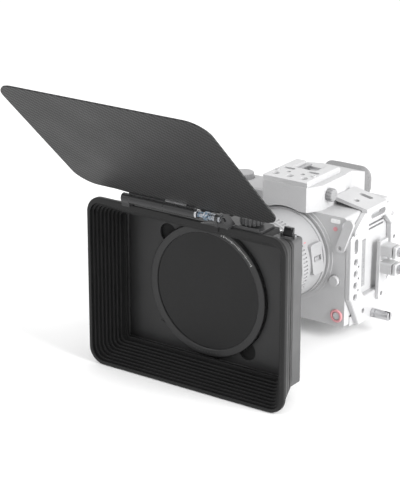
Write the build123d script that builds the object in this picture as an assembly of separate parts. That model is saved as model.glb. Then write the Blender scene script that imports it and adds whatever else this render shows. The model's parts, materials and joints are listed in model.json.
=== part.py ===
"""Cinema camera rig: hybrid cinema camera, half cage, zoom lens and clamp-on matte box with a top flag.

Millimetres. +Z is up and the lens looks along -Y, so +X is the camera's port side.
The origin is the tripod thread in the underside of the cage's base plate, below the lens axis.
"""
import os
from math import atan2, cos, degrees, hypot, pi, radians, sin

from build123d import *

# ---------------------------------------------------------------- shared
LENS_Z = 60.0            # lens axis above the underside of the cage
SKIN_GAP = 0.4           # gap between neighbouring parts that don't touch
TURN_GAP = 0.3           # radial gap between rings that turn on each other
RUN_FIT = 0.05           # radial clearance of a pin in its bore

# ---------------------------------------------------------------- matte box hood
HOOD_WIDTH = 191.2
HOOD_HEIGHT = 145.2
HOOD_FRONT_Y = -185.0
HOOD_DEPTH = 28.0
HOOD_CORNER_R = 14.0
HOOD_BAND = 3.2          # straight band behind the front rim
RIM_SIDE = 3.0
RIM_TOP = 4.4
RIB_COUNT = 8
RIB_PITCH = 2.6
RIB_DEPTH = 1.8
THROAT_WIDTH = 150.8     # opening in the rear lip of the hood
THROAT_HEIGHT = 108.2
LIP_THICK = 2.4
GROOVE_DEPTH = 0.7       # grooves round the outside of the hood

# ---------------------------------------------------------------- filter frame, tray and ring
FRAME_WIDTH = 168.4
FRAME_HEIGHT = 123.0
FRAME_DEPTH = 13.4
FRAME_WALL = 3.6
FRAME_BACK = 2.0
FRAME_CORNER_R = 2.5
LIGHT_HOLE_R = 50.0
TRAY_THICK = 2.4
TRAY_GAP = 0.4
TRAY_TAB_WIDTH = 46.0
TRAY_TAB_RISE = 9.0
RING_R = 55.7
RING_WALL = 5.3
RING_SEAT_GAP = 0.5
RING_LIP = 2.4           # lip in the tray that the ring rests on
RING_LIP_THICK = 0.8
RING_BASE_THICK = 2.2
RING_FRONT_THICK = 2.8
GLASS_THICK = 1.5
NOTCH_R = 8.0            # finger notches beside the ring

# ---------------------------------------------------------------- top flag and its hinge
HINGE_Y = -187.6
HINGE_Z = 139.0
FLAG_ANGLE = 45.0        # rise of the flag above the horizontal at rest
FLAG_WIDTH = 191.0
FLAG_LENGTH = 145.8
FLAG_THICK = 1.2
FLAG_CORNER_R = 17.5
FLAG_SETBACK = 6.3       # from the hinge axis to the flag's near edge
FLAG_FACE = 2.7          # flat on the barrel that the flag lies on, above the axis
TAB_REACH = 2.6          # how far the tab runs past the axis
BARREL_R = 4.0
BARREL_X0 = -48.0
BARREL_X1 = 15.0
EAR_R = 3.8
EAR_X = 34.0
EAR_THICK = 2.2
KNUCKLE_WIDTH = 7.4
KNUCKLE_REAR_Y = -173.6  # back end of the foot of the left-hand bearing block
KNUCKLE_SUNK = 1.4       # how deep that foot is let into the hood
KNUCKLE_PROUD = 0.3
HINGE_PIN_R = 1.6
PAD_X0 = 12.0            # flat pad on top of the hood, under the bracket
PAD_X1 = 75.0
PAD_REAR_Y = -162.0
BRACKET_THICK = 1.6
THUMB_X = 56.7
THUMB_Y = -172.4
THUMB_R = 9.6
THUMB_HEIGHT = 6.0
THUMB_FLUTES = 18
THUMB_FLUTE_R = 1.35

# ---------------------------------------------------------------- lens
FLANGE_Y = -33.0         # face of the lens mount
LENS_FRONT_Y = -139.0
TUBE_R = 33.0            # fixed inner tube that the rings turn on
TUBE_WALL = 2.2
RING_OUT_R = 39.0        # rubber rings
BARREL_OUT_R = 38.4
FRONT_RIM_R = 40.0
REAR_TRIM_R = 39.8
CONTROL_RING = (-70.0, -60.0)
ZOOM_RING = (-101.0, -73.0)
FOCUS_RING = (-129.0, -104.0)
CLAMP_WIDTH = 8.0
CLAMP_R = 47.0
MOUNT_R = 34.5
MOUNT_BORE_R = 27.0

# ---------------------------------------------------------------- camera body
BODY_X0 = -46.0
BODY_X1 = 56.6
BODY_FRONT_Y = -31.0
BODY_SPLIT_Y = 2.0
BODY_REAR_Y = 40.0
BODY_TOP_Z = 99.0
BODY_WALL = 2.6
CHIN_Z = 1.0
CHIN_DEPTH = 7.8
GRIP_X0 = -81.0
GRIP_FRONT_Y = -53.0
GRIP_REAR_Y = 30.0
DECK_TOP_Z = 106.0
DECK_X1 = -30.0
HUMP_HALF = 21.6
HUMP_WIDE = 29.0
HUMP_FRONT_Y = -39.0
HUMP_TOP_Z = 121.0
EYE_HALF = 22.0
EYE_REAR_Y = 56.0
EYE_TOP_Z = 111.0
EYE_LOW_Z = 85.0
CUP_DEPTH = 12.0
SENSOR_WIDTH = 36.0
SENSOR_HEIGHT = 24.0
FLANGE_FOCAL = 20.0
BATTERY = (20.6, 38.4, 56.5)
BATTERY_GAP = 0.5
DOOR_THICK = 2.4

# ---------------------------------------------------------------- screen
SCREEN_X0 = -29.0
SCREEN_X1 = 50.0
SCREEN_Z0 = 19.0
SCREEN_Z1 = 79.0
SCREEN_THICK = 8.0
SCREEN_GAP = 0.6
SCREEN_HINGE_R = 3.0

# ---------------------------------------------------------------- cage
BASE_THICK = 8.0
BASE_FRONT_Y = -22.8
BASE_REAR_Y = 32.0
BASE_X0 = -44.0
SIDE_X = 62.0            # outer face of the side plate
SIDE_THICK = 5.0
TRIPOD_R = 2.6           # minor radius of the 1/4-20 thread
CAGE_HOLE_R = 2.6
CAGE_HOLE_Y = -23.0
CAGE_HOLE_Z0 = 26.0
CAGE_HOLE_PITCH = 10.5
CAGE_HOLES = 4
TOP_PLATE_THICK = 5.0
TOP_PLATE_WIDTH = 44.0
TOP_PLATE_REAR_Y = 14.0
SHOE_WIDTH = 18.8
SHOE_DEPTH = 2.1

# ---------------------------------------------------------------- derived places
HOOD_REAR_Y = HOOD_FRONT_Y + HOOD_DEPTH
HOOD_TOP_Z = LENS_Z + HOOD_HEIGHT / 2
FRAME_REAR_Y = HOOD_REAR_Y + FRAME_DEPTH
TRAY_REAR_Y = FRAME_REAR_Y - FRAME_BACK - TRAY_GAP
TRAY_FRONT_Y = TRAY_REAR_Y - TRAY_THICK
TRAY_WIDTH = FRAME_WIDTH - 2 * FRAME_WALL - 2 * TRAY_GAP
TRAY_LOW_Z = LENS_Z - FRAME_HEIGHT / 2 + FRAME_WALL + TRAY_GAP
TRAY_HIGH_Z = LENS_Z + FRAME_HEIGHT / 2
LIP_FRONT_Y = TRAY_REAR_Y - RING_LIP_THICK
RING_BASE_Y = LIP_FRONT_Y - RING_BASE_THICK
RING_FRONT_Y = RING_BASE_Y - TURN_GAP - RING_FRONT_THICK
GLASS_R = RING_R - RING_WALL
SENSOR_Y = FLANGE_Y + FLANGE_FOCAL
BODY_LOW_Z = BASE_THICK
SIDE_INNER_X = SIDE_X - SIDE_THICK
CLAMP_REAR_Y = FRAME_REAR_Y + CLAMP_WIDTH


# ================================================================ drawing helpers
def box(x0, x1, y0, y1, z0, z1):
    """A block between two corners."""
    centre = Pos((x0 + x1) / 2, (y0 + y1) / 2, (z0 + z1) / 2)
    return centre * Box(x1 - x0, y1 - y0, z1 - z0)


def cyl_x(y, z, r, x0, x1):
    return Pos((x0 + x1) / 2, y, z) * Rot(0, 90, 0) * Cylinder(r, x1 - x0)


def cyl_y(x, z, r, y0, y1):
    return Pos(x, (y0 + y1) / 2, z) * Rot(90, 0, 0) * Cylinder(r, y1 - y0)


def cyl_z(x, y, r, z0, z1):
    return Pos(x, y, (z0 + z1) / 2) * Cylinder(r, z1 - z0)


def ring_y(r_out, r_in, y0, y1):
    """A ring round the lens axis."""
    return cyl_y(0, LENS_Z, r_out, y0, y1) - cyl_y(0, LENS_Z, r_in, y0 - 1, y1 + 1)


def prism_x(sketch, x0, x1):
    """Extrude a sketch drawn in Y and Z from x0 to x1."""
    face = Plane(origin=(x0, 0, 0), x_dir=(0, 1, 0), z_dir=(1, 0, 0)) * sketch
    return extrude(face, amount=x1 - x0, dir=(1, 0, 0))


def prism_y(sketch, y0, y1):
    """Extrude a sketch drawn in X and Z from y0 to y1."""
    face = Plane(origin=(0, y0, 0), x_dir=(1, 0, 0), z_dir=(0, -1, 0)) * sketch
    return extrude(face, amount=y1 - y0, dir=(0, 1, 0))


def prism_z(sketch, z0, z1):
    """Extrude a sketch drawn in X and Y from z0 to z1."""
    return extrude(Plane.XY.offset(z0) * sketch, amount=z1 - z0, dir=(0, 0, 1))


def outline(*points):
    return Polygon(*points, align=None)


def group(*pieces):
    """Separate solids kept together in one node."""
    return Compound([solid for piece in pieces for solid in piece.solids()])


def polar(count, make):
    """The pieces made for each of count equal angles."""
    return [make(360 * i / count) for i in range(count)]


def about_lens(angle, shape):
    """Turn a shape about the lens axis."""
    return Pos(0, 0, LENS_Z) * Rot(0, angle, 0) * Pos(0, 0, -LENS_Z) * shape


def hex_socket_x(y, z, across, x0, x1):
    return prism_x(Pos(y, z) * RegularPolygon(across / 2, 6, major_radius=False), x0, x1)


def hex_socket_z(x, y, across, z0, z1):
    return prism_z(Pos(x, y) * RegularPolygon(across / 2, 6, major_radius=False), z0, z1)


# ================================================================ matte box
def hood_rect(width, height, radius, y, drop=0.0):
    """A rounded rectangle across the lens axis, lowered by drop."""
    plane = Plane(origin=(0, y, LENS_Z - drop), x_dir=(1, 0, 0), z_dir=(0, -1, 0))
    return plane * RectangleRounded(width, height, radius)


def hood_outside():
    """The outer form: a straight front band and a taper back to the filter frame."""
    band_y = HOOD_FRONT_Y + HOOD_BAND
    front = hood_rect(HOOD_WIDTH, HOOD_HEIGHT, HOOD_CORNER_R, HOOD_FRONT_Y)
    band = extrude(front, amount=HOOD_BAND, dir=(0, 1, 0))
    taper = loft([
        hood_rect(HOOD_WIDTH - 1.6, HOOD_HEIGHT - 1.6, HOOD_CORNER_R - 0.8, band_y).face(),
        hood_rect(FRAME_WIDTH + 2, FRAME_HEIGHT + 2, FRAME_CORNER_R + 3, HOOD_REAR_Y).face(),
    ])
    return band + taper


def hood_shell():
    """Ribbed hood: each rib is a step inwards with a groove behind it."""
    rib_zone = RIB_COUNT * RIB_PITCH
    shell = hood_outside()
    shell = fillet(shell.faces().sort_by(Axis.Y)[0].outer_wire().edges(), 1.0)
    mouth_w = HOOD_WIDTH - 2 * RIM_SIDE
    mouth_h = HOOD_HEIGHT - RIM_SIDE - RIM_TOP
    step_w = (mouth_w - THROAT_WIDTH - 4) / RIB_COUNT
    step_h = (mouth_h - THROAT_HEIGHT - 4) / RIB_COUNT
    cuts = []
    for i in range(RIB_COUNT):
        drop = (RIM_TOP - RIM_SIDE) / 2 * (1 - i / RIB_COUNT)
        width = mouth_w - i * step_w
        height = mouth_h - i * step_h
        radius = HOOD_CORNER_R - RIM_SIDE - i * 0.9
        start = HOOD_FRONT_Y + i * RIB_PITCH
        ridge = hood_rect(width, height, radius, start - 0.01, drop)
        cuts.append(extrude(ridge, amount=RIB_PITCH * 0.5 + 0.02, dir=(0, 1, 0)))
        groove = hood_rect(width + RIB_DEPTH, height + RIB_DEPTH, radius + 0.4, start + RIB_PITCH * 0.5, drop)
        cuts.append(extrude(groove, amount=RIB_PITCH * 0.5, dir=(0, 1, 0)))
    band = hood_rect(THROAT_WIDTH + 4, THROAT_HEIGHT + 4, 4, HOOD_FRONT_Y + rib_zone - 0.01)
    cuts.append(extrude(band, amount=HOOD_DEPTH - rib_zone - LIP_THICK, dir=(0, 1, 0)))
    throat = hood_rect(THROAT_WIDTH, THROAT_HEIGHT, 2.5, HOOD_FRONT_Y)
    cuts.append(extrude(throat, amount=HOOD_DEPTH + 1, dir=(0, 1, 0)))
    for cut in cuts:
        shell = shell - cut
    pad = box(PAD_X0, PAD_X1, HOOD_FRONT_Y + 1.2, PAD_REAR_Y, HOOD_TOP_Z - RIM_TOP, HOOD_TOP_Z)
    knuckle_x0 = BARREL_X0 - SKIN_GAP - KNUCKLE_WIDTH
    left_pad = box(knuckle_x0, BARREL_X0 - SKIN_GAP, HOOD_FRONT_Y + 1.2, HOOD_FRONT_Y + 12,
                   HOOD_TOP_Z - RIM_TOP, HOOD_TOP_Z)
    lip = box(-13, EAR_X, HOOD_FRONT_Y - 0.7, HOOD_FRONT_Y + 0.5, HOOD_TOP_Z - 5.2, HOOD_TOP_Z - 1.0)
    shell = shell + pad + left_pad + lip
    seat = box(knuckle_x0 - RUN_FIT, BARREL_X0 - SKIN_GAP + RUN_FIT, HOOD_FRONT_Y + 2.0 - RUN_FIT,
               KNUCKLE_REAR_Y + RUN_FIT, HOOD_TOP_Z - KNUCKLE_SUNK, HOOD_TOP_Z + 1)
    shell = shell - seat
    return shell - hood_grooves() - hood_screw_holes()


def hood_grooves():
    """Two shallow grooves round the tapered outside."""
    cuts = []
    for share in (0.35, 0.62):
        y = HOOD_FRONT_Y + HOOD_BAND + share * (HOOD_DEPTH - HOOD_BAND)
        width = HOOD_WIDTH + share * (FRAME_WIDTH - HOOD_WIDTH)
        height = HOOD_HEIGHT + share * (FRAME_HEIGHT - HOOD_HEIGHT)
        outer = extrude(hood_rect(width + 20, height + 20, 12, y), amount=1.6, dir=(0, 1, 0))
        inner = hood_rect(width - 2 * GROOVE_DEPTH, height - 2 * GROOVE_DEPTH, 9, y)
        cuts.append(outer - extrude(inner, amount=1.6, dir=(0, 1, 0)))
    keep_pad = box(PAD_X0, PAD_X1, HOOD_FRONT_Y, HOOD_REAR_Y, HOOD_TOP_Z - 30, HOOD_TOP_Z + 1)
    return (cuts[0] + cuts[1]) - keep_pad


HOOD_SCREW_X = (-70.0, 78.0)
HOOD_SCREW_Y = HOOD_FRONT_Y + 16.0
HOOD_SCREW_Z = HOOD_TOP_Z - 7.6


def hood_screw_holes():
    return Part() + [cyl_z(x, HOOD_SCREW_Y, 2.0, HOOD_SCREW_Z - 2.2, HOOD_SCREW_Z + 6) for x in HOOD_SCREW_X]


def hood_screws():
    """Small cap screws sunk in the top of the hood."""
    pieces = []
    for x in HOOD_SCREW_X:
        head = cyl_z(x, HOOD_SCREW_Y, 1.9, HOOD_SCREW_Z - 2.2, HOOD_SCREW_Z + 1.4)
        pieces.append(head - hex_socket_z(x, HOOD_SCREW_Y, 1.8, HOOD_SCREW_Z, HOOD_SCREW_Z + 2))
    return group(*pieces)


def filter_frame():
    """Rear housing: open at the front and at the top, where the tray slides in."""
    outer = hood_rect(FRAME_WIDTH, FRAME_HEIGHT, FRAME_CORNER_R, HOOD_REAR_Y)
    body = extrude(outer, amount=FRAME_DEPTH, dir=(0, 1, 0))
    inside_half = FRAME_WIDTH / 2 - FRAME_WALL
    low = LENS_Z - FRAME_HEIGHT / 2 + FRAME_WALL
    rear_wall_y = FRAME_REAR_Y - FRAME_BACK
    slot = box(-inside_half, inside_half, TRAY_FRONT_Y - 2 * TRAY_GAP, rear_wall_y, low, TRAY_HIGH_Z + 1)
    front_top = LENS_Z + FRAME_HEIGHT / 2 - FRAME_WALL
    cavity = box(-inside_half, inside_half, HOOD_REAR_Y - 1, TRAY_FRONT_Y, low, front_top)
    ring_way = box(-RING_R - 1, RING_R + 1, RING_FRONT_Y - 0.6, TRAY_FRONT_Y, LENS_Z, TRAY_HIGH_Z + 1)
    body = body - slot - cavity - ring_way
    body = body - cyl_y(0, LENS_Z, LIGHT_HOLE_R, HOOD_REAR_Y, FRAME_REAR_Y + 1)
    notch = cyl_y(0, TRAY_HIGH_Z + 6, 16, rear_wall_y - 0.5, FRAME_REAR_Y + 1)
    return body - notch + frame_collar() + latch_posts()


def frame_collar():
    """Split collar on the back that grips the front of the lens."""
    bore_r = FRONT_RIM_R + 0.05
    collar = ring_y(CLAMP_R, bore_r, FRAME_REAR_Y, CLAMP_REAR_Y)
    web = ring_y(LIGHT_HOLE_R + 3, bore_r, FRAME_REAR_Y - FRAME_BACK, FRAME_REAR_Y + 1.2)
    ears = box(CLAMP_R - 5, CLAMP_R + 10, FRAME_REAR_Y + 1.2, CLAMP_REAR_Y, LENS_Z - 6.5, LENS_Z + 6.5)
    slit = box(bore_r - 4, CLAMP_R + 11, FRAME_REAR_Y + 1.2, CLAMP_REAR_Y + 1, LENS_Z - 1.2, LENS_Z + 1.2)
    clear = cyl_y(0, LENS_Z, bore_r, FRAME_REAR_Y - 5, CLAMP_REAR_Y + 1)
    screw_y = (FRAME_REAR_Y + 1.2 + CLAMP_REAR_Y) / 2
    screw_hole = cyl_z(CLAMP_R + 4.5, screw_y, 1.5 + RUN_FIT, LENS_Z - 8, LENS_Z + 8)
    return web + collar + (ears - clear) - slit - screw_hole


def collar_screw():
    """Knurled screw that pulls the split collar tight."""
    x = CLAMP_R + 4.5
    y = (FRAME_REAR_Y + 1.2 + CLAMP_REAR_Y) / 2
    shank = cyl_z(x, y, 1.5, LENS_Z - 9, LENS_Z + 6.8)
    knob = cyl_z(x, y, 3.2, LENS_Z + 6.8, LENS_Z + 14)
    grooves = [cyl_z(x + 3.4 * cos(radians(a)), y + 3.4 * sin(radians(a)), 0.5, LENS_Z + 7.6, LENS_Z + 15)
               for a in range(0, 360, 30)]
    return shank + knob - grooves


LATCH_HALF = 4.2         # half the width of the latch's blade
LATCH_HUB_R = 1.6
LATCH_PIN_R = 0.8
LATCH_POST = 2.0         # thickness of one post
LATCH_X = FRAME_WIDTH / 2 - 8.0
LATCH_Y = TRAY_FRONT_Y - 2.6
LATCH_Z = TRAY_HIGH_Z + 2.2
LATCH_OPEN = 80.0        # how far the latch stands open at rest
LATCH_REACH = 6.2        # from the latch pin to the end of the blade


def latch_posts():
    """Two small posts that hold the latch pin."""
    posts = Part()
    start = LATCH_HALF + SKIN_GAP
    for x in (LATCH_X - start - LATCH_POST, LATCH_X + start):
        post = box(x, x + LATCH_POST, LATCH_Y - LATCH_HUB_R, LATCH_Y + LATCH_HUB_R, TRAY_HIGH_Z - 1, LATCH_Z)
        post = post + cyl_x(LATCH_Y, LATCH_Z, LATCH_HUB_R, x, x + LATCH_POST)
        posts = posts + (post - cyl_x(LATCH_Y, LATCH_Z, LATCH_PIN_R, x - 1, x + LATCH_POST + 1))
    return posts


def tray_latch():
    """Flip lever on the top right corner, standing open at rest, clear of the tray's way up."""
    r = LATCH_HUB_R
    x0 = LATCH_X - LATCH_HALF
    x1 = LATCH_X + LATCH_HALF
    hub = cyl_x(0, 0, r, x0, x1)
    blade = prism_x(outline((0, 0), (0, -r), (LATCH_REACH, -0.9), (LATCH_REACH, 0.5), (0, r)), x0, x1)
    lip = outline((LATCH_REACH - 1.6, 0.2), (LATCH_REACH, 0.3), (LATCH_REACH - 0.2, 2.0), (LATCH_REACH - 1.4, 2.0))
    grip = prism_x(lip, x0 + 1, x1 - 1)
    lever = Rot(LATCH_OPEN, 0, 0) * (hub + blade + grip)
    lever = Pos(0, LATCH_Y, LATCH_Z) * lever
    return lever - cyl_x(LATCH_Y, LATCH_Z, LATCH_PIN_R + RUN_FIT, x0 - 1, x1 + 1)


def latch_pin():
    half = LATCH_HALF + SKIN_GAP + LATCH_POST
    return cyl_x(LATCH_Y, LATCH_Z, LATCH_PIN_R, LATCH_X - half, LATCH_X + half)


def notch_disc(angle, radius, y0, y1):
    reach = RING_R + 2.0
    x = reach * cos(radians(angle))
    z = LENS_Z + reach * sin(radians(angle))
    return cyl_y(x, z, radius, y0, y1)


def filter_tray():
    """Slide-in plate with a stepped round seat for the filter and two finger notches."""
    half = TRAY_WIDTH / 2
    plate = box(-half, half, TRAY_FRONT_Y, TRAY_REAR_Y, TRAY_LOW_Z, TRAY_HIGH_Z)
    tab_half = TRAY_TAB_WIDTH / 2
    tab = box(-tab_half, tab_half, TRAY_FRONT_Y, TRAY_REAR_Y, TRAY_HIGH_Z - 1, TRAY_HIGH_Z + TRAY_TAB_RISE)
    tab = fillet(tab.edges().filter_by(Axis.Y).group_by(Axis.Z)[-1], 4)
    plate = plate + tab
    seat = cyl_y(0, LENS_Z, RING_R + RING_SEAT_GAP, TRAY_FRONT_Y - 1, LIP_FRONT_Y)
    through = cyl_y(0, LENS_Z, RING_R - RING_LIP, TRAY_FRONT_Y - 1, TRAY_REAR_Y + 1)
    plate = plate - seat - through
    for angle in (135, -50):
        plate = plate - notch_disc(angle, NOTCH_R, TRAY_FRONT_Y - 1, TRAY_REAR_Y + 1)
    plate = plate - cyl_y(TRAY_SCREW_X, TRAY_SCREW_Z, 1.6, TRAY_FRONT_Y - 1, LIP_FRONT_Y)
    slots = [Pos(s * (tab_half - 9), TRAY_HIGH_Z + 3.2) * SlotOverall(10, 2.6) for s in (-1, 1)]
    for slot in slots:
        plate = plate - prism_y(slot, TRAY_FRONT_Y - 1, TRAY_REAR_Y + 1)
    return plate


TRAY_SCREW_X = -(RING_R + 3.6) * cos(radians(38))
TRAY_SCREW_Z = LENS_Z - (RING_R + 3.6) * sin(radians(38))


def tray_screw():
    """Locking screw whose head overlaps the filter's seat."""
    head = cyl_y(TRAY_SCREW_X, TRAY_SCREW_Z, 1.6, TRAY_FRONT_Y - 0.9, LIP_FRONT_Y)
    slot = box(TRAY_SCREW_X - 2, TRAY_SCREW_X + 2, TRAY_FRONT_Y - 1, TRAY_FRONT_Y - 0.3,
               TRAY_SCREW_Z - 0.25, TRAY_SCREW_Z + 0.25)
    return head - slot


def filter_ring_base():
    """Fixed ring of the variable filter, seated in the tray."""
    ring = ring_y(RING_R, GLASS_R, RING_BASE_Y, LIP_FRONT_Y)
    return ring - ring_y(GLASS_R + 1.0, GLASS_R - 5, RING_BASE_Y - 0.1, RING_BASE_Y + GLASS_THICK + 0.1)


def filter_glass_rear():
    return cyl_y(0, LENS_Z, GLASS_R + 0.95, RING_BASE_Y + 0.1, RING_BASE_Y + 0.1 + GLASS_THICK)


def filter_ring_front():
    """Turning ring with a bevelled face, a coin edge and a small index peg."""
    rear = RING_BASE_Y - TURN_GAP
    ring = ring_y(RING_R, GLASS_R - 0.9, RING_FRONT_Y, rear)
    front_edges = ring.edges().group_by(Axis.Y)[0]
    ring = chamfer(front_edges, 0.5)
    teeth = []
    for i in range(48):
        tooth = box(RING_R - 0.45, RING_R + 1, RING_FRONT_Y + 0.9, rear + 1, LENS_Z - 0.8, LENS_Z + 0.8)
        teeth.append(about_lens(360 * i / 48, tooth))
    ring = ring - teeth
    glass_seat = cyl_y(0, LENS_Z, GLASS_R, rear - GLASS_THICK - 0.2, rear + 1)
    return ring - glass_seat


def filter_glass_front():
    rear = RING_BASE_Y - TURN_GAP
    return cyl_y(0, LENS_Z, GLASS_R - 0.05, rear - GLASS_THICK - 0.2, rear - 0.1)


# ================================================================ flag and hinge
FLAG_NORMAL = (0, sin(radians(FLAG_ANGLE)), cos(radians(FLAG_ANGLE)))
FLAG_PLACE = Plane(origin=(0, HINGE_Y, HINGE_Z), x_dir=(1, 0, 0), z_dir=FLAG_NORMAL).location


def flag_panel():
    """Flat plate with round corners and a tab that lies over the hinge barrel."""
    middle_y = -(FLAG_SETBACK + FLAG_LENGTH / 2)
    sheet = Pos(0, middle_y) * RectangleRounded(FLAG_WIDTH, FLAG_LENGTH, FLAG_CORNER_R)
    tab = outline((BARREL_X0 - 13, -FLAG_SETBACK - 1), (BARREL_X0 - 13, -FLAG_SETBACK),
                  (BARREL_X0, -BARREL_R - 0.6), (BARREL_X0, TAB_REACH), (BARREL_X1, TAB_REACH),
                  (BARREL_X1, -BARREL_R - 0.6), (55, -FLAG_SETBACK), (55, -FLAG_SETBACK - 1))
    low = FLAG_FACE
    plate = prism_z(sheet, low, low + FLAG_THICK) + prism_z(tab, low, low + FLAG_THICK)
    holes = [cyl_z(x, RIVET_Y, 1.1, FLAG_FACE - 1, FLAG_FACE + 5) for x in FLAG_SCREW_X]
    return FLAG_PLACE * (plate - holes)


FLAG_SCREW_X = (-40.0, -18.0, 4.0)
RIVET_Y = -1.0
RIVET_R = 0.9
RIVET_FOOT = FLAG_FACE - 0.7     # bottom of the blind rivet holes in the barrel
SEAT_REACH = 6.1                 # how far the barrel's ledge runs out under the flag
SEAT_THICK = 1.3


def hinge_barrel():
    """Long barrel with a seat for the flag; it turns on the hinge pin."""
    barrel = cyl_x(0, 0, BARREL_R, BARREL_X0, BARREL_X1)
    barrel = barrel - box(BARREL_X0 - 1, BARREL_X1 + 1, -BARREL_R, BARREL_R, FLAG_FACE, BARREL_R + 1)
    seat = box(BARREL_X0, BARREL_X1, -SEAT_REACH, 0, FLAG_FACE - SEAT_THICK, FLAG_FACE)
    seam = cyl_x(0, 0, BARREL_R + 1, -15.0, -14.6) - cyl_x(0, 0, BARREL_R - 0.35, -16, -14)
    seam = seam - box(-16, -14, -BARREL_R - 2, BARREL_R, FLAG_FACE - SEAT_THICK, BARREL_R + 2)
    body = barrel + seat - seam - cyl_x(0, 0, HINGE_PIN_R + RUN_FIT, BARREL_X0 - 1, BARREL_X1 + 1)
    for x in FLAG_SCREW_X:
        body = body - cyl_z(x, RIVET_Y, RIVET_R, RIVET_FOOT, FLAG_FACE + 1)
    return FLAG_PLACE * body


def flag_clamp_strip():
    """Bright strip that presses the flag on to the barrel, with its rivet posts."""
    low = FLAG_FACE + FLAG_THICK
    strip = box(BARREL_X0 + 2, BARREL_X1 - 2, -4.2, 2.2, low, low + 1.4)
    strip = fillet(strip.edges().filter_by(Axis.Z), 1.2)
    for x in FLAG_SCREW_X:
        strip = strip + cyl_z(x, RIVET_Y, RIVET_R, RIVET_FOOT, low + 0.5)
    return FLAG_PLACE * strip


def flag_edge_strip():
    """Thin metal edge on the front of the barrel's seat."""
    strip = box(-12, 8, -SEAT_REACH - 1.3, -SEAT_REACH, FLAG_FACE - SEAT_THICK, FLAG_FACE)
    return FLAG_PLACE * strip


def hinge_end_nut():
    """Round end nut with a hexagon socket on the right end of the barrel."""
    disc = cyl_x(HINGE_Y, HINGE_Z, BARREL_R - 0.3, BARREL_X1, BARREL_X1 + 1.8)
    disc = disc - cyl_x(HINGE_Y, HINGE_Z, HINGE_PIN_R + RUN_FIT, BARREL_X1 - 1, BARREL_X1 + 3)
    for angle in (90, 210, 330):
        y = HINGE_Y + 2.7 * cos(radians(angle))
        z = HINGE_Z + 2.7 * sin(radians(angle))
        disc = disc - cyl_x(y, z, 0.5, BARREL_X1 + 0.9, BARREL_X1 + 3)
    return disc


def ear_profile(low_z):
    """A standing ear with a round top on the hinge axis, its front cut back for the hanging flag."""
    front_y = HINGE_Y - FLAG_FACE + SKIN_GAP
    stem = outline((front_y, low_z), (HINGE_Y + EAR_R, low_z), (HINGE_Y + EAR_R, HINGE_Z),
                   (HINGE_Y - EAR_R, HINGE_Z), (front_y, HINGE_Z - EAR_R))
    return stem + Pos(HINGE_Y, HINGE_Z) * Circle(EAR_R)


def hinge_knuckle():
    """Left-hand bearing block of the hinge, standing on the hood."""
    x1 = BARREL_X0 - SKIN_GAP
    x0 = x1 - KNUCKLE_WIDTH
    block = prism_x(ear_profile(HOOD_TOP_Z), x0, x1)
    block = block + box(x0, x1, HINGE_Y + 1.0, KNUCKLE_REAR_Y, HOOD_TOP_Z, HOOD_TOP_Z + KNUCKLE_PROUD)
    block = block + box(x0, x1, HOOD_FRONT_Y + 2.0, KNUCKLE_REAR_Y, HOOD_TOP_Z - KNUCKLE_SUNK, HOOD_TOP_Z)
    bore = cyl_x(HINGE_Y, HINGE_Z, HINGE_PIN_R + 0.02, x0 - 1, x1 + 1)
    return block - bore - cyl_x(HINGE_Y, HINGE_Z, 2.6, x0 - 1, x0 + 2.5)


def hinge_pin():
    left = BARREL_X0 - SKIN_GAP - KNUCKLE_WIDTH + 3.0
    right = EAR_X + EAR_THICK
    pin = cyl_x(HINGE_Y, HINGE_Z, HINGE_PIN_R, left, right + 0.8)
    head = cyl_x(HINGE_Y, HINGE_Z, 3.0, right, right + 2.2)
    return pin + head - hex_socket_x(HINGE_Y, HINGE_Z, 2.4, right + 1.0, right + 3)


def friction_stack():
    """Spring washers and a hexagon lock nut that set the hinge's friction."""
    pieces = []
    bore = HINGE_PIN_R + 0.02
    start = EAR_X - 0.2
    for i in range(4):
        x1 = start - i * 1.7
        washer = cyl_x(HINGE_Y, HINGE_Z, 3.0 - 0.25 * (i % 2), x1 - 1.4, x1)
        pieces.append(washer - cyl_x(HINGE_Y, HINGE_Z, bore, x1 - 3, x1 + 1))
    nut_x1 = start - 4 * 1.7
    nut = hex_socket_x(HINGE_Y, HINGE_Z, 6.0, nut_x1 - 4.0, nut_x1)
    pieces.append(nut - cyl_x(HINGE_Y, HINGE_Z, bore, nut_x1 - 5, nut_x1 + 1))
    collar_x0 = BARREL_X1 + 2.2
    collar = cyl_x(HINGE_Y, HINGE_Z, 2.3, collar_x0, nut_x1 - 4.3)
    pieces.append(collar - cyl_x(HINGE_Y, HINGE_Z, bore, collar_x0 - 1, nut_x1))
    return group(*pieces)


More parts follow.
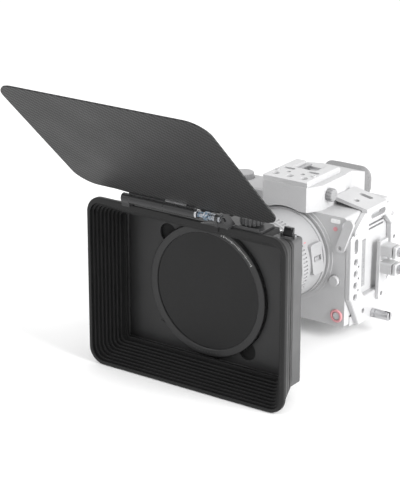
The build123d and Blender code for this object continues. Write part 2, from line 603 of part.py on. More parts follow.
def flag_bracket():
    """Bent sheet: flat foot, ramp, roof and an ear that carries the hinge pin."""
    t = BRACKET_THICK
    z = HOOD_TOP_Z
    top = HINGE_Z + EAR_R
    y0 = HINGE_Y - EAR_R + 0.3
    y1 = HINGE_Y + EAR_R - 0.3
    ear = prism_x(ear_profile(z), EAR_X, EAR_X + EAR_THICK)
    x0 = EAR_X + EAR_THICK - 0.5
    run = 8.0
    ramp = prism_y(outline((x0, top - t), (x0, top), (x0 + 2, top), (x0 + 2 + run, z + t), (x0 + 2 + run, z),
                           (x0 + run + 0.8, z), (x0 + 1.2, top - t)), y0 + 1.6, y1 + 5.0)
    rear_y = PAD_REAR_Y - 0.6
    foot = box(x0 + run, PAD_X1 - 3, HOOD_FRONT_Y + 1.8, rear_y, z, z + t)
    foot = fillet(foot.edges().filter_by(Axis.Z).group_by(Axis.X)[-1], 3)
    strap = box(EAR_X, x0 + run + 2, HINGE_Y + 1.6, rear_y, z, z + t)
    rim = box(x0 + run + 4, PAD_X1 - 6, HOOD_FRONT_Y + 1.8, HOOD_FRONT_Y + 3.2, z + t, z + t + 1.2)
    post = cyl_z(THUMB_X, THUMB_Y, 4.5, z + t, z + t + 1.0)
    brace_low = z + SKIN_GAP
    gusset = prism_y(outline((EAR_X - 14, brace_low), (EAR_X - 2, z + 2.4), (EAR_X + 1, z + 2.4),
                             (x0, top - t - 1), (x0 + run, z + t), (x0 + run + 1, brace_low)), y0 + 1.6, y0 + 3.2)
    body = ear + ramp + foot + strap + rim + post + gusset
    body = body - cyl_x(HINGE_Y, HINGE_Z, HINGE_PIN_R + 0.02, EAR_X - 1, EAR_X + EAR_THICK + 12)
    body = body - cyl_x(HINGE_Y, HINGE_Z, 3.3, EAR_X + EAR_THICK, EAR_X + EAR_THICK + 3)
    return body - cyl_z(THUMB_X, THUMB_Y, 2.0 + RUN_FIT, z - 1, z + 5)


def bracket_thumb_screw():
    """Knurled black thumb screw that holds the bracket to the hood."""
    z0 = HOOD_TOP_Z + BRACKET_THICK + 1.0 + SKIN_GAP / 2
    head = cyl_z(THUMB_X, THUMB_Y, THUMB_R, z0, z0 + THUMB_HEIGHT)
    head = chamfer(head.edges(), 0.6)
    flutes = []
    for i in range(THUMB_FLUTES):
        a = 2 * pi * i / THUMB_FLUTES
        x = THUMB_X + (THUMB_R + 0.4) * cos(a)
        y = THUMB_Y + (THUMB_R + 0.4) * sin(a)
        flutes.append(cyl_z(x, y, THUMB_FLUTE_R, z0 - 1, z0 + THUMB_HEIGHT + 1))
    head = head - flutes
    head = head - cyl_z(THUMB_X, THUMB_Y, 4.2, z0 + THUMB_HEIGHT - 1.2, z0 + THUMB_HEIGHT + 1)
    return head + cyl_z(THUMB_X, THUMB_Y, 2.0, HOOD_TOP_Z + 0.3, z0 + 1)


# ================================================================ lens
def ribbed_ring(y0, y1, ribs, r_out=RING_OUT_R):
    """Rubber-covered turning ring with ribs along the lens axis."""
    ring = ring_y(r_out, TUBE_R + TURN_GAP, y0, y1)
    ring = chamfer(ring.edges().group_by(Axis.Y)[0], 0.5)
    ring = chamfer(ring.edges().group_by(Axis.Y)[-1], 0.5)
    width = 2 * pi * r_out / ribs * 0.42
    groove = box(r_out - 0.9, r_out + 2, y0 + 2, y1 - 2, LENS_Z - width / 2, LENS_Z + width / 2)
    return ring - polar(ribs, lambda angle: about_lens(angle, groove))


def lens_inner_tube():
    """Fixed tube that carries the glass and that the rings turn on."""
    tube = ring_y(TUBE_R, TUBE_R - TUBE_WALL, LENS_FRONT_Y + 3, FLANGE_Y - 4)
    for y in LENS_SEATS:
        tube = tube + ring_y(TUBE_R - TUBE_WALL + 0.2, TUBE_R - TUBE_WALL - 2.6, y, y + 2)
    return tube


LENS_SEATS = (-126.0, -92.0, -62.0)


def lens_front_barrel():
    """Front collar with the filter thread; the matte box grips it."""
    y1 = FOCUS_RING[0] - 0.5
    rim = ring_y(FRONT_RIM_R, TUBE_R, LENS_FRONT_Y, y1)
    rim = chamfer(rim.edges().group_by(Axis.Y)[0], 0.6)
    grooves = [ring_y(FRONT_RIM_R + 2, FRONT_RIM_R - 0.5, y, y + 0.6) for y in (y1 - 2.4, y1 - 1.2)]
    thread = ring_y(TUBE_R + 1.4, TUBE_R - 1, LENS_FRONT_Y - 1, LENS_FRONT_Y + 3)
    return rim - thread - grooves


def lens_mid_ring(y0, y1):
    """Plain fixed ring between two turning rings."""
    ring = ring_y(BARREL_OUT_R, TUBE_R, y0, y1)
    return ring - ring_y(BARREL_OUT_R + 2, BARREL_OUT_R - 0.4, (y0 + y1) / 2 - 0.3, (y0 + y1) / 2 + 0.3)


def lens_mid_rings():
    gap = SKIN_GAP
    return group(lens_mid_ring(FOCUS_RING[1] + gap, ZOOM_RING[0] - gap),
                 lens_mid_ring(ZOOM_RING[1] + gap, CONTROL_RING[0] - gap))


def lens_rear_barrel():
    """Rear housing of the lens with the switch panel and a bright rear trim."""
    y0 = CONTROL_RING[1] + SKIN_GAP
    body = ring_y(BARREL_OUT_R, TUBE_R, y0, FLANGE_Y - 4.6)
    trim = ring_y(REAR_TRIM_R, TUBE_R, FLANGE_Y - 4.6, FLANGE_Y - 1.6)
    trim = chamfer(trim.edges().filter_by(GeomType.CIRCLE).group_by(SortBy.RADIUS)[-1], 0.5)
    body = body + trim
    panel = box(BARREL_OUT_R - 2, BARREL_OUT_R + 1.6, y0 + 3, FLANGE_Y - 7, LENS_Z - 13, LENS_Z + 13)
    panel = fillet(panel.edges().filter_by(Axis.X), 3)
    panel = about_lens(SWITCH_ANGLE, panel) - cyl_y(0, LENS_Z, TUBE_R + 2, y0, FLANGE_Y)
    body = body + panel
    pocket = box(BARREL_OUT_R - 0.4, BARREL_OUT_R + 3, SWITCH_Y - 5.2, SWITCH_Y + 5.2, LENS_Z - 2.2, LENS_Z + 2.2)
    body = body - about_lens(SWITCH_ANGLE, pocket)
    return body - mount_seat()


SWITCH_ANGLE = -8.0
SWITCH_Y = -48.0


def lens_switch(z):
    """Sliding switch in its pocket on the panel."""
    knob = box(BARREL_OUT_R - 0.2, BARREL_OUT_R + 2.6, SWITCH_Y - 4.9, SWITCH_Y + 1.1, z - 1.9, z + 1.9)
    knob = chamfer(knob.edges().filter_by(Axis.Z).group_by(Axis.X)[-1], 0.5)
    for i in range(3):
        y = SWITCH_Y - 3.4 + i * 1.5
        knob = knob - box(BARREL_OUT_R + 2.2, BARREL_OUT_R + 4, y - 0.25, y + 0.25, z - 3, z + 3)
    return about_lens(SWITCH_ANGLE, knob)


def mount_seat():
    """Space for the bayonet ring in the back of the lens."""
    return cyl_y(0, LENS_Z, MOUNT_R - 0.5, FLANGE_Y - 3, FLANGE_Y + 1)


def lens_bayonet():
    """Steel bayonet of the lens with three claws."""
    ring = ring_y(MOUNT_R - 0.5, MOUNT_BORE_R - 2.6, FLANGE_Y - 3, FLANGE_Y)
    sleeve = ring_y(MOUNT_BORE_R - 0.6, MOUNT_BORE_R - 2.6, FLANGE_Y - 1, FLANGE_Y + 6)
    return ring + sleeve


def lens_element(y, r, bulge_front, bulge_back, thick):
    """A round glass element with spherical faces, centred on the lens axis."""
    front_r = (r * r + bulge_front ** 2) / (2 * bulge_front)
    back_r = (r * r + bulge_back ** 2) / (2 * bulge_back)
    disc = cyl_y(0, LENS_Z, r, y - bulge_front - 1, y + thick + bulge_back + 1)
    front_ball = Pos(0, y - bulge_front + front_r, LENS_Z) * Sphere(front_r)
    back_ball = Pos(0, y + thick + bulge_back - back_r, LENS_Z) * Sphere(back_r)
    return disc & front_ball & back_ball


def lens_front_glass():
    return lens_element(LENS_SEATS[0] - 5.7, TUBE_R - TUBE_WALL - 0.1, 3.5, 0.8, 5.5)


def lens_middle_glass():
    return lens_element(LENS_SEATS[1] - 4.8, TUBE_R - TUBE_WALL - 0.1, 1.6, 1.6, 4.4)


def lens_rear_glass():
    return lens_element(LENS_SEATS[2] - 4.0, TUBE_R - TUBE_WALL - 0.1, 1.2, 1.4, 3.6)


def iris_ring():
    """Iris: a ring of nine overlapping blades leaving a round stop."""
    y = LENS_SEATS[1] + 10.0
    ring = ring_y(TUBE_R - TUBE_WALL - 0.1, 15, y, y + 1.2)
    housing = ring_y(TUBE_R - TUBE_WALL - 0.1, 26, y + 1.2, y + 4.5)
    slit = box(14.5, 27, y - 0.1, y + 0.35, LENS_Z - 0.2, LENS_Z + 0.2)
    return ring + housing - polar(9, lambda angle: about_lens(angle, slit))


# ================================================================ camera body
def body_block(y0, y1):
    sketch = Pos((BODY_X0 + BODY_X1) / 2, (BODY_LOW_Z + BODY_TOP_Z) / 2) * RectangleRounded(
        BODY_X1 - BODY_X0, BODY_TOP_Z - BODY_LOW_Z, 3)
    return prism_y(sketch, y0, y1)


def body_cavity(y0, y1):
    w = BODY_WALL
    return box(BODY_X0 + w, BODY_X1 - w, y0, y1, BODY_LOW_Z + w, BODY_TOP_Z - w)


def body_front_shell():
    """Front casting with the mount boss, the chin and a strap recess."""
    shell = body_block(BODY_FRONT_Y, BODY_SPLIT_Y)
    chin = box(BODY_X0 + 2, BODY_X1, BODY_FRONT_Y, BODY_FRONT_Y + CHIN_DEPTH, CHIN_Z, BODY_LOW_Z + 4)
    chin = chamfer(chin.edges().filter_by(Axis.Y).group_by(Axis.Z)[0], 1.5)
    shell = shell + chin - body_cavity(BODY_FRONT_Y + BODY_WALL, BODY_SPLIT_Y + 1)
    boss = ring_y(MOUNT_R + 6.5, MOUNT_R, BODY_FRONT_Y - 1.2, BODY_FRONT_Y + BODY_WALL)
    step = ring_y(MOUNT_R + 9.5, MOUNT_R, BODY_FRONT_Y - 0.6, BODY_FRONT_Y + BODY_WALL)
    trim = box(BODY_X0, BODY_X1, BODY_FRONT_Y - 2, BODY_FRONT_Y + 5, BODY_LOW_Z, BODY_TOP_Z)
    shell = shell + ((boss + step) & trim)
    shell = shell - cyl_y(0, LENS_Z, MOUNT_R, BODY_FRONT_Y - 3, BODY_FRONT_Y + BODY_WALL + 1)
    recess = cyl_y(BODY_X1, STRAP_Z, 4.4, BODY_FRONT_Y - 1, BODY_FRONT_Y + 9)
    wall = cyl_y(BODY_X1, STRAP_Z, 6.4, BODY_FRONT_Y, BODY_FRONT_Y + 11)
    wall = wall & box(BODY_X1 - 8, BODY_X1, BODY_FRONT_Y, BODY_SPLIT_Y, BODY_LOW_Z, BODY_TOP_Z)
    shell = shell + wall - recess
    shell = shell - cyl_y(RECORD_X, RECORD_Z, RECORD_R, BODY_FRONT_Y - 1, BODY_FRONT_Y + 3.2)
    shell = shell - cyl_y(RELEASE_X, RELEASE_Z, RELEASE_R + TURN_GAP, BODY_FRONT_Y - 2, BODY_FRONT_Y + 1.6)
    return shell - port_pocket()


STRAP_Z = 91.0
RECORD_X = 49.0
RECORD_Z = 10.5
RECORD_R = 5.8
RELEASE_X = 46.5
RELEASE_Z = 42.0
RELEASE_R = 4.6


def record_bezel():
    """Raised red ring round the front record button."""
    y = BODY_FRONT_Y
    ring = cyl_y(RECORD_X, RECORD_Z, RECORD_R, y - 1.3, y + 3.2)
    ring = chamfer(ring.edges().group_by(Axis.Y)[0], 0.6)
    return ring - cyl_y(RECORD_X, RECORD_Z, 3.7, y - 3, y + 4)


def record_button():
    y = BODY_FRONT_Y
    button = cyl_y(RECORD_X, RECORD_Z, 3.4, y - 0.9, y + 1.6)
    return chamfer(button.edges().group_by(Axis.Y)[0], 0.4)


def lens_release_button():
    y = BODY_FRONT_Y
    button = cyl_y(RELEASE_X, RELEASE_Z, RELEASE_R, y - 2.8, y + 0.4)
    return chamfer(button.edges().group_by(Axis.Y)[0], 0.6)


BADGE_X = 46.0
BADGE_Z = 94.6


def front_badge():
    """Plain blank badge and a small lamp window on the front face."""
    y = BODY_FRONT_Y
    badge = prism_y(Pos(BADGE_X, BADGE_Z) * RectangleRounded(9.0, 3.6, 1.0), y - 0.5, y)
    lamp = cyl_y(BADGE_X, BADGE_Z - 6.8, 1.9, y - 0.6, y)
    return group(badge, lamp)


def camera_mount_ring():
    """Steel bayonet ring in the body with four screw heads."""
    ring = ring_y(MOUNT_R, MOUNT_BORE_R, FLANGE_Y, BODY_FRONT_Y + 1.4)
    for angle in (45, 135, 225, 315):
        r = MOUNT_R - 3.4
        x = r * cos(radians(angle))
        z = LENS_Z + r * sin(radians(angle))
        ring = ring - cyl_y(x, z, 1.3, FLANGE_Y - 1, FLANGE_Y + 0.6)
    return ring


def body_rear_shell():
    """Rear casting with a vent grille and a recess for the screen."""
    shell = body_block(BODY_SPLIT_Y, BODY_REAR_Y)
    shell = shell - body_cavity(BODY_SPLIT_Y - 1, BODY_REAR_Y - BODY_WALL)
    slots = [box(BODY_X1 - 5, BODY_X1 + 1, 6.0, 30.0, z, z + 1.8) for z in VENT_Z]
    shell = shell - slots
    shell = shell - box(BODY_X0 + 6, -HUMP_WIDE - 6, 8, 32, BODY_LOW_Z - 1, BODY_LOW_Z + BODY_WALL + 1)
    wheel_hole = cyl_y(WHEEL_X, WHEEL_Z, 3.6, BODY_REAR_Y - 5, BODY_REAR_Y + 1)
    return shell - wheel_hole


VENT_Z = (78.0, 81.6, 85.2)
WHEEL_X = -38.6
WHEEL_Z = 46.0
PORT_Y0 = -12.0
PORT_Y1 = 1.2
PORT_Z0 = 30.0
PORT_Z1 = 72.0
PORT_DEPTH = 1.4


def port_pocket():
    return box(BODY_X1 - PORT_DEPTH, BODY_X1 + 1, PORT_Y0, PORT_Y1, PORT_Z0, PORT_Z1)


def port_door():
    """Rubber door over the connectors, with a finger lip; it swings on its front edge."""
    gap = 0.2
    x1 = BODY_X1 + 0.2
    door = box(BODY_X1 - PORT_DEPTH + 0.1, x1, PORT_Y0 + gap, PORT_Y1 - gap, PORT_Z0 + gap, PORT_Z1 - gap)
    lip = box(x1 - 0.2, x1 + 0.2, PORT_Y1 - 3.2, PORT_Y1 - 0.8, 46, 56)
    return door + lip


def grip():
    """Hand grip with a round front and a battery chamber open at the bottom."""
    plan = outline((GRIP_X0, GRIP_REAR_Y), (GRIP_X0, GRIP_FRONT_Y + 10), (GRIP_X0 + 6, GRIP_FRONT_Y),
                   (BODY_X0 - 8, GRIP_FRONT_Y), (BODY_X0, GRIP_FRONT_Y + 9), (BODY_X0, GRIP_REAR_Y))
    body = prism_z(plan, BODY_LOW_Z, BODY_TOP_Z)
    body = fillet(body.edges().filter_by(Axis.Z).group_by(Axis.Y)[0], 5)
    body = fillet(body.edges().filter_by(Axis.Z).group_by(Axis.X)[0].group_by(Axis.Y)[-1], 6)
    scoop = Pos(BODY_X0 + 4, GRIP_FRONT_Y + 17, 0) * prism_z(Circle(9), BODY_LOW_Z + 12, BODY_TOP_Z - 14)
    battery_x, battery_y, battery_z = battery_corner()
    g = BATTERY_GAP
    chamber = box(battery_x - g, battery_x + BATTERY[0] + g, battery_y - g, battery_y + BATTERY[1] + g,
                  BODY_LOW_Z - 1, battery_z + BATTERY[2] + 3)
    door_seat = box(battery_x - 3.2, battery_x + BATTERY[0] + 3.2, battery_y - 3.2, battery_y + BATTERY[1] + 3.2,
                    BODY_LOW_Z - 1, BODY_LOW_Z + DOOR_THICK + 0.3)
    scoop = scoop & box(GRIP_X0, BODY_X0, GRIP_FRONT_Y - 5, GRIP_REAR_Y, 0, BODY_TOP_Z)
    return body - scoop - chamber - door_seat - deck_slope(BODY_X0)


def battery_corner():
    return (GRIP_X0 + 7.0, GRIP_FRONT_Y + 12.0, BODY_LOW_Z + DOOR_THICK + 0.6)


def battery():
    x, y, z = battery_corner()
    cell = box(x, x + BATTERY[0], y, y + BATTERY[1], z, z + BATTERY[2])
    cell = fillet(cell.edges().filter_by(Axis.Z), 1.5)
    return cell - box(x + 4, x + 16, y - 1, y + 1.2, z + BATTERY[2] - 6, z + BATTERY[2] + 1)


def battery_door():
    """Door in the bottom of the grip, hinged along its outer edge, with a catch recess."""
    x, y, _ = battery_corner()
    door = box(x - 2.9, x + BATTERY[0] + 2.9, y - 2.9, y + BATTERY[1] + 2.9, BODY_LOW_Z + 0.1,
               BODY_LOW_Z + 0.1 + DOOR_THICK)
    catch = box(x + BATTERY[0] - 2.5, x + BATTERY[0] + 1, y + 14, y + 25, BODY_LOW_Z - 1, BODY_LOW_Z + 1.1)
    return door - catch


DECK_SLOPE_Y = 6.0       # behind this line the deck falls away to the back
DECK_FALL = 0.375        # fall per millimetre


def deck_slope(x1):
    """Space above the sloping rear part of the grip side."""
    end_y = BODY_REAR_Y
    end_z = DECK_TOP_Z - (end_y - DECK_SLOPE_Y) * DECK_FALL
    roof = DECK_TOP_Z + 5
    return prism_x(outline((DECK_SLOPE_Y, DECK_TOP_Z), (DECK_SLOPE_Y, roof), (end_y, roof), (end_y, end_z)),
                   GRIP_X0 - 1, x1)


def top_deck():
    """Top cover on the grip side, carrying the dials."""
    plan = outline((GRIP_X0, GRIP_REAR_Y), (GRIP_X0, GRIP_FRONT_Y + 12), (GRIP_X0 + 7, GRIP_FRONT_Y + 2),
                   (BODY_X0 - 9, GRIP_FRONT_Y + 2), (BODY_X0 + 1, GRIP_FRONT_Y + 14), (BODY_X0 + 2, -24),
                   (DECK_X1, -24), (DECK_X1, BODY_REAR_Y - 6), (BODY_X0, BODY_REAR_Y - 6), (BODY_X0, GRIP_REAR_Y))
    deck = prism_z(plan, BODY_TOP_Z, DECK_TOP_Z)
    deck = chamfer(deck.edges().group_by(Axis.Z)[-1], 1.4)
    for x, y, r in DIALS:
        deck = deck - cyl_z(x, y, r + 0.5, DECK_TOP_Z - 2.0, DECK_TOP_Z + 1)
    shutter_well = Pos(SHUTTER_X, SHUTTER_Y, DECK_TOP_Z) * Cylinder(SHUTTER_R + 0.3, 6)
    return deck - shutter_well - deck_slope(DECK_X1 + 1)


MODE_DIAL = (-64.0, -5.0, 9.0)
FRONT_DIAL = (-66.0, -26.0, 6.6)
DIALS = (MODE_DIAL, FRONT_DIAL)
SHUTTER_X = -64.0
SHUTTER_Y = -41.0
SHUTTER_R = 4.4


def dial(place, rise, flutes):
    """Knurled dial sunk in the deck."""
    x, y, r = place
    low = DECK_TOP_Z - 1.7
    knob = cyl_z(x, y, r, low, DECK_TOP_Z + rise)
    knob = chamfer(knob.edges().group_by(Axis.Z)[-1], 0.6)
    cuts = []
    for i in range(flutes):
        a = 2 * pi * i / flutes
        cuts.append(cyl_z(x + (r + 0.25) * cos(a), y + (r + 0.25) * sin(a), 0.6, DECK_TOP_Z + 0.3,
                          DECK_TOP_Z + rise + 1))
    return knob - cuts


def shutter_button():
    button = cyl_z(SHUTTER_X, SHUTTER_Y, SHUTTER_R, DECK_TOP_Z - 1.2, DECK_TOP_Z + 1.6)
    return fillet(button.edges().group_by(Axis.Z)[-1], 0.9)


def viewfinder_housing():
    """Central hump that runs back into the eyepiece; hollow behind the eyepiece glass."""
    plan = outline((-HUMP_HALF, HUMP_FRONT_Y), (HUMP_HALF, HUMP_FRONT_Y), (HUMP_WIDE, HUMP_FRONT_Y + 13),
                   (HUMP_WIDE, 12), (EYE_HALF, 34), (EYE_HALF, EYE_REAR_Y), (-EYE_HALF, EYE_REAR_Y),
                   (-EYE_HALF, 34), (-HUMP_WIDE, 12), (-HUMP_WIDE, HUMP_FRONT_Y + 13))
    side = outline((HUMP_FRONT_Y, BODY_TOP_Z), (HUMP_FRONT_Y, HUMP_TOP_Z), (TOP_PLATE_REAR_Y + 1, HUMP_TOP_Z),
                   (32, HUMP_TOP_Z - 3), (EYE_REAR_Y, EYE_TOP_Z), (EYE_REAR_Y, EYE_LOW_Z),
                   (BODY_REAR_Y, EYE_LOW_Z), (BODY_REAR_Y, BODY_TOP_Z))
    hump = prism_z(plan, EYE_LOW_Z - 1, HUMP_TOP_Z + 1) & prism_x(side, -HUMP_WIDE - 1, HUMP_WIDE + 1)
    hump = hump - cyl_y(0, LENS_Z, REAR_TRIM_R + 1.6, HUMP_FRONT_Y - 1, BODY_FRONT_Y)
    tunnel = box(-16, 16, BODY_REAR_Y - 4, EYE_REAR_Y + 1, EYE_LOW_Z + 4, EYE_TOP_Z - 4)
    chamber = box(-17, 17, HUMP_FRONT_Y + 9, BODY_REAR_Y - 3, BODY_TOP_Z + 2, HUMP_TOP_Z - 5)
    hump = hump - tunnel - chamber
    return hump - box(-SHOE_CUT_HALF, SHOE_CUT_HALF, SHOE_FRONT_Y, TOP_PLATE_REAR_Y + 1, HUMP_TOP_Z - 2.2, HUMP_TOP_Z + 1)


SHOE_CUT_HALF = SHOE_WIDTH / 2 + 2.0
SHOE_FRONT_Y = -8.0


def hot_shoe():
    """Accessory shoe: a base with two inward rails and a contact pad."""
    half = SHOE_WIDTH / 2
    low = HUMP_TOP_Z - 2.2
    rear = TOP_PLATE_REAR_Y + 1
    base = box(-SHOE_CUT_HALF, SHOE_CUT_HALF, SHOE_FRONT_Y, rear, low, low + 1.0)
    shoe = base
    for side in (-1, 1):
        x_in, x_out = sorted((side * half, side * SHOE_CUT_HALF))
        shoe = shoe + box(x_in, x_out, SHOE_FRONT_Y, rear, low, low + 1.0 + SHOE_DEPTH + 1.4)
        x_in, x_out = sorted((side * (half - 2.8), side * half))
        shoe = shoe + box(x_in, x_out, SHOE_FRONT_Y, rear, low + 1.0 + SHOE_DEPTH, low + 1.0 + SHOE_DEPTH + 1.4)
    return shoe + box(-5, 5, SHOE_FRONT_Y + 4, rear - 6, low + 1.0, low + 1.3)


def eyepiece_glass():
    return box(-15.9, 15.9, EYE_REAR_Y - 6, EYE_REAR_Y - 4, EYE_LOW_Z + 4.1, EYE_TOP_Z - 4.1)


def eyecup():
    """Soft rubber cup round the eyepiece."""
    mid_z = (EYE_LOW_Z + EYE_TOP_Z) / 2
    height = EYE_TOP_Z - EYE_LOW_Z
    inner = loft([
        eye_rect(35, height - 6, 5, EYE_REAR_Y - 0.01, mid_z).face(),
        eye_rect(39, height - 3, 8, EYE_REAR_Y + CUP_DEPTH + 0.01, mid_z).face(),
    ])
    outer = loft([
        eye_rect(2 * EYE_HALF - 1, height - 1, 5, EYE_REAR_Y, mid_z).face(),
        eye_rect(2 * EYE_HALF + 3, height + 4, 9, EYE_REAR_Y + CUP_DEPTH * 0.55, mid_z).face(),
        eye_rect(2 * EYE_HALF, height + 1, 10, EYE_REAR_Y + CUP_DEPTH, mid_z).face(),
    ], ruled=True)
    return outer - inner


def eye_rect(width, height, radius, y, z):
    plane = Plane(origin=(0, y, z), x_dir=(1, 0, 0), z_dir=(0, -1, 0))
    return plane * RectangleRounded(width, height, radius)


def diopter_knob():
    """Small fluted knob on the port side of the hump."""
    knob = cyl_x(KNOB_Y, KNOB_Z, 5.6, HUMP_WIDE + SKIN_GAP, HUMP_WIDE + 6)
    knob = chamfer(knob.edges().group_by(Axis.X)[-1], 0.8)
    flutes = []
    for i in range(12):
        a = radians(30 * i)
        flutes.append(cyl_x(KNOB_Y + 6.1 * cos(a), KNOB_Z + 6.1 * sin(a), 1.1, HUMP_WIDE, HUMP_WIDE + 8))
    return knob - flutes


KNOB_Y = -16.0
KNOB_Z = 111.0


def image_sensor():
    """Sensor stack: package, chip and cover glass as one block."""
    half_w = SENSOR_WIDTH / 2
    half_h = SENSOR_HEIGHT / 2
    chip = box(-half_w, half_w, SENSOR_Y, SENSOR_Y + 1, LENS_Z - half_h, LENS_Z + half_h)
    package = box(-half_w - 4, half_w + 4, SENSOR_Y + 1, SENSOR_Y + 4, LENS_Z - half_h - 4, LENS_Z + half_h + 4)
    return chip + package


def sensor_plate():
    """Metal carrier that holds the sensor, fixed to the front shell by four pillars."""
    y = SENSOR_Y + 4
    plate = box(-38, 38, y, y + 2, LENS_Z - 30, LENS_Z + 30)
    for x in (-34, 34):
        for z in (LENS_Z - 26, LENS_Z + 26):
            plate = plate + cyl_y(x, z, 2.4, BODY_FRONT_Y + BODY_WALL, y)
    return plate - box(-10, 10, y - 1, y + 3, LENS_Z - 8, LENS_Z + 8)


def main_board():
    """Main circuit board with its larger chips."""
    y = BODY_SPLIT_Y + 2
    board = box(BODY_X0 + 6, BODY_X1 - 6, y, y + 1.6, BODY_LOW_Z + 8, BODY_TOP_Z - 8)
    for x, z, w, h in ((-20, 40, 16, 16), (12, 62, 18, 14), (30, 34, 12, 12), (-22, 72, 14, 10)):
        board = board + box(x - w / 2, x + w / 2, y - 1.4, y, z - h / 2, z + h / 2)
    return board


def heat_sink():
    """Finned heat sink between the board and the fan."""
    y = BODY_SPLIT_Y + 3.6
    sink = box(-30, 44, y, y + 3, 20, 80)
    fins = [box(-29 + 6 * i, -27.4 + 6 * i, y + 3, y + 9, 22, 78) for i in range(13)]
    return sink + fins


FAN_X = 8.0
FAN_Y = 17.5
FAN_R = 21.0


def fan_frame():
    """Square fan housing with a round duct and a hub on three spokes."""
    y1 = FAN_Y + 14
    frame = box(FAN_X - 25, FAN_X + 25, FAN_Y, y1, 25, 75)
    frame = frame - cyl_y(FAN_X, 50, FAN_R + 1.2, FAN_Y - 1, y1 + 1)
    spokes = [Pos(FAN_X, y1 - 1, 50) * Rot(0, a, 0) * Pos(12, 0, 0) * Box(24, 2, 2.4) for a in (30, 150, 270)]
    hub = cyl_y(FAN_X, 50, 7, y1 - 2, y1)
    shaft = cyl_y(FAN_X, 50, 1.0, FAN_Y + 2.5, y1)
    return frame + spokes + hub + shaft


def fan_rotor():
    """Seven-bladed rotor turning on the hub's shaft."""
    y1 = FAN_Y + 11.4
    hub = cyl_y(FAN_X, 50, 7.5, FAN_Y + 1, y1)
    blade = Pos(FAN_X, (FAN_Y + y1) / 2 + 0.6, 50) * Rot(35, 0, 0) * Pos(13.4, 0, 0) * Box(13.6, 1.0, 9.5)
    rotor = hub
    for i in range(7):
        turn = Pos(FAN_X, 0, 50) * Rot(0, 360 * i / 7, 0) * Pos(-FAN_X, 0, -50)
        rotor = rotor + turn * blade
    limit = cyl_y(FAN_X, 50, FAN_R, FAN_Y, y1 + 1)
    return (rotor & limit) - cyl_y(FAN_X, 50, 1.0 + RUN_FIT, FAN_Y + 2.4, y1 + 2)


def rear_wheel():
    """Control wheel on the back, with a centre dish."""
    y0 = BODY_REAR_Y + SKIN_GAP
    wheel = cyl_y(WHEEL_X, WHEEL_Z, WHEEL_R, y0, y0 + 3)
    wheel = chamfer(wheel.edges().group_by(Axis.Y)[-1], 0.6)
    wheel = wheel - cyl_y(WHEEL_X, WHEEL_Z, 3.2, y0 + 1.8, y0 + 4)
    notches = []
    for i in range(18):
        a = 2 * pi * i / 18
        notches.append(cyl_y(WHEEL_X + WHEEL_R * cos(a), WHEEL_Z + WHEEL_R * sin(a), 0.45, y0 + 0.6, y0 + 4))
    return wheel - notches + cyl_y(WHEEL_X, WHEEL_Z, 3.0, y0 - 3, y0)


WHEEL_R = 6.2
REAR_BUTTONS = ((-40.5, 72.0), (-34.5, 72.0), (-40.5, 31.0), (-34.5, 31.0))


def rear_buttons():
    """Round keys on the back, moving together as one key mat."""
    y = BODY_REAR_Y
    keys = []
    for x, z in REAR_BUTTONS:
        key = cyl_y(x, z, 2.0, y + 0.7, y + 1.9)
        keys.append(chamfer(key.edges().group_by(Axis.Y)[-1], 0.3))
    return group(*keys)


def joystick():
    """Small thumb stick on the back."""
    y = BODY_REAR_Y
    stem = cyl_y(JOY_X, JOY_Z, 1.3, y + 0.4, y + 3)
    head = cyl_y(JOY_X, JOY_Z, 2.9, y + 3, y + 4.6)
    head = chamfer(head.edges().group_by(Axis.Y)[-1], 0.5)
    return stem + head


JOY_X = -38.0
JOY_Z = 60.0


def screen_axis_y():
    return BODY_REAR_Y + SCREEN_GAP + SCREEN_THICK


def screen():
    """Swing-out monitor housing with a recessed display and hinge knuckles."""
    y0 = BODY_REAR_Y + SCREEN_GAP
    y1 = y0 + SCREEN_THICK
    slab = box(SCREEN_X0, SCREEN_X1 - 4 - SKIN_GAP, y0, y1, SCREEN_Z0, SCREEN_Z1)
    slab = fillet(slab.edges().filter_by(Axis.Y), 3)
    display = box(SCREEN_X0 + 5, SCREEN_X1 - 8, y1 - 0.8, y1 + 1, SCREEN_Z0 + 5, SCREEN_Z1 - 5)
    slab = slab - display
    x = SCREEN_X1 - 1
    arm = box(SCREEN_X1 - 5, x, y0 + 1, y1, SCREEN_Z0 + 14, SCREEN_Z1 - 14)
    knuckle = cyl_z(x, screen_axis_y(), SCREEN_HINGE_R, SCREEN_Z0 + 14, SCREEN_Z1 - 14)
    bore = cyl_z(x, screen_axis_y(), 1.2 + RUN_FIT, SCREEN_Z0, SCREEN_Z1)
    return slab + arm + knuckle - bore


def screen_glass():
    y1 = BODY_REAR_Y + SCREEN_GAP + SCREEN_THICK
    return box(SCREEN_X0 + 5.2, SCREEN_X1 - 8.2, y1 - 0.8, y1 - 0.1, SCREEN_Z0 + 5.2, SCREEN_Z1 - 5.2)


def screen_hinge():
    """Fixed hinge leaves and pin on the port side of the back."""
    x = SCREEN_X1 - 1
    y = screen_axis_y()
    leaves = Part()
    for z0, z1 in ((SCREEN_Z0 + 4, SCREEN_Z0 + 13.6), (SCREEN_Z1 - 13.6, SCREEN_Z1 - 4)):
        leaf = box(x - SCREEN_HINGE_R, x + SCREEN_HINGE_R, BODY_REAR_Y, y, z0, z1)
        leaf = leaf + cyl_z(x, y, SCREEN_HINGE_R, z0, z1)
        leaves = leaves + leaf
    return leaves + cyl_z(x, y, 1.2, SCREEN_Z0 + 4, SCREEN_Z1 - 4)


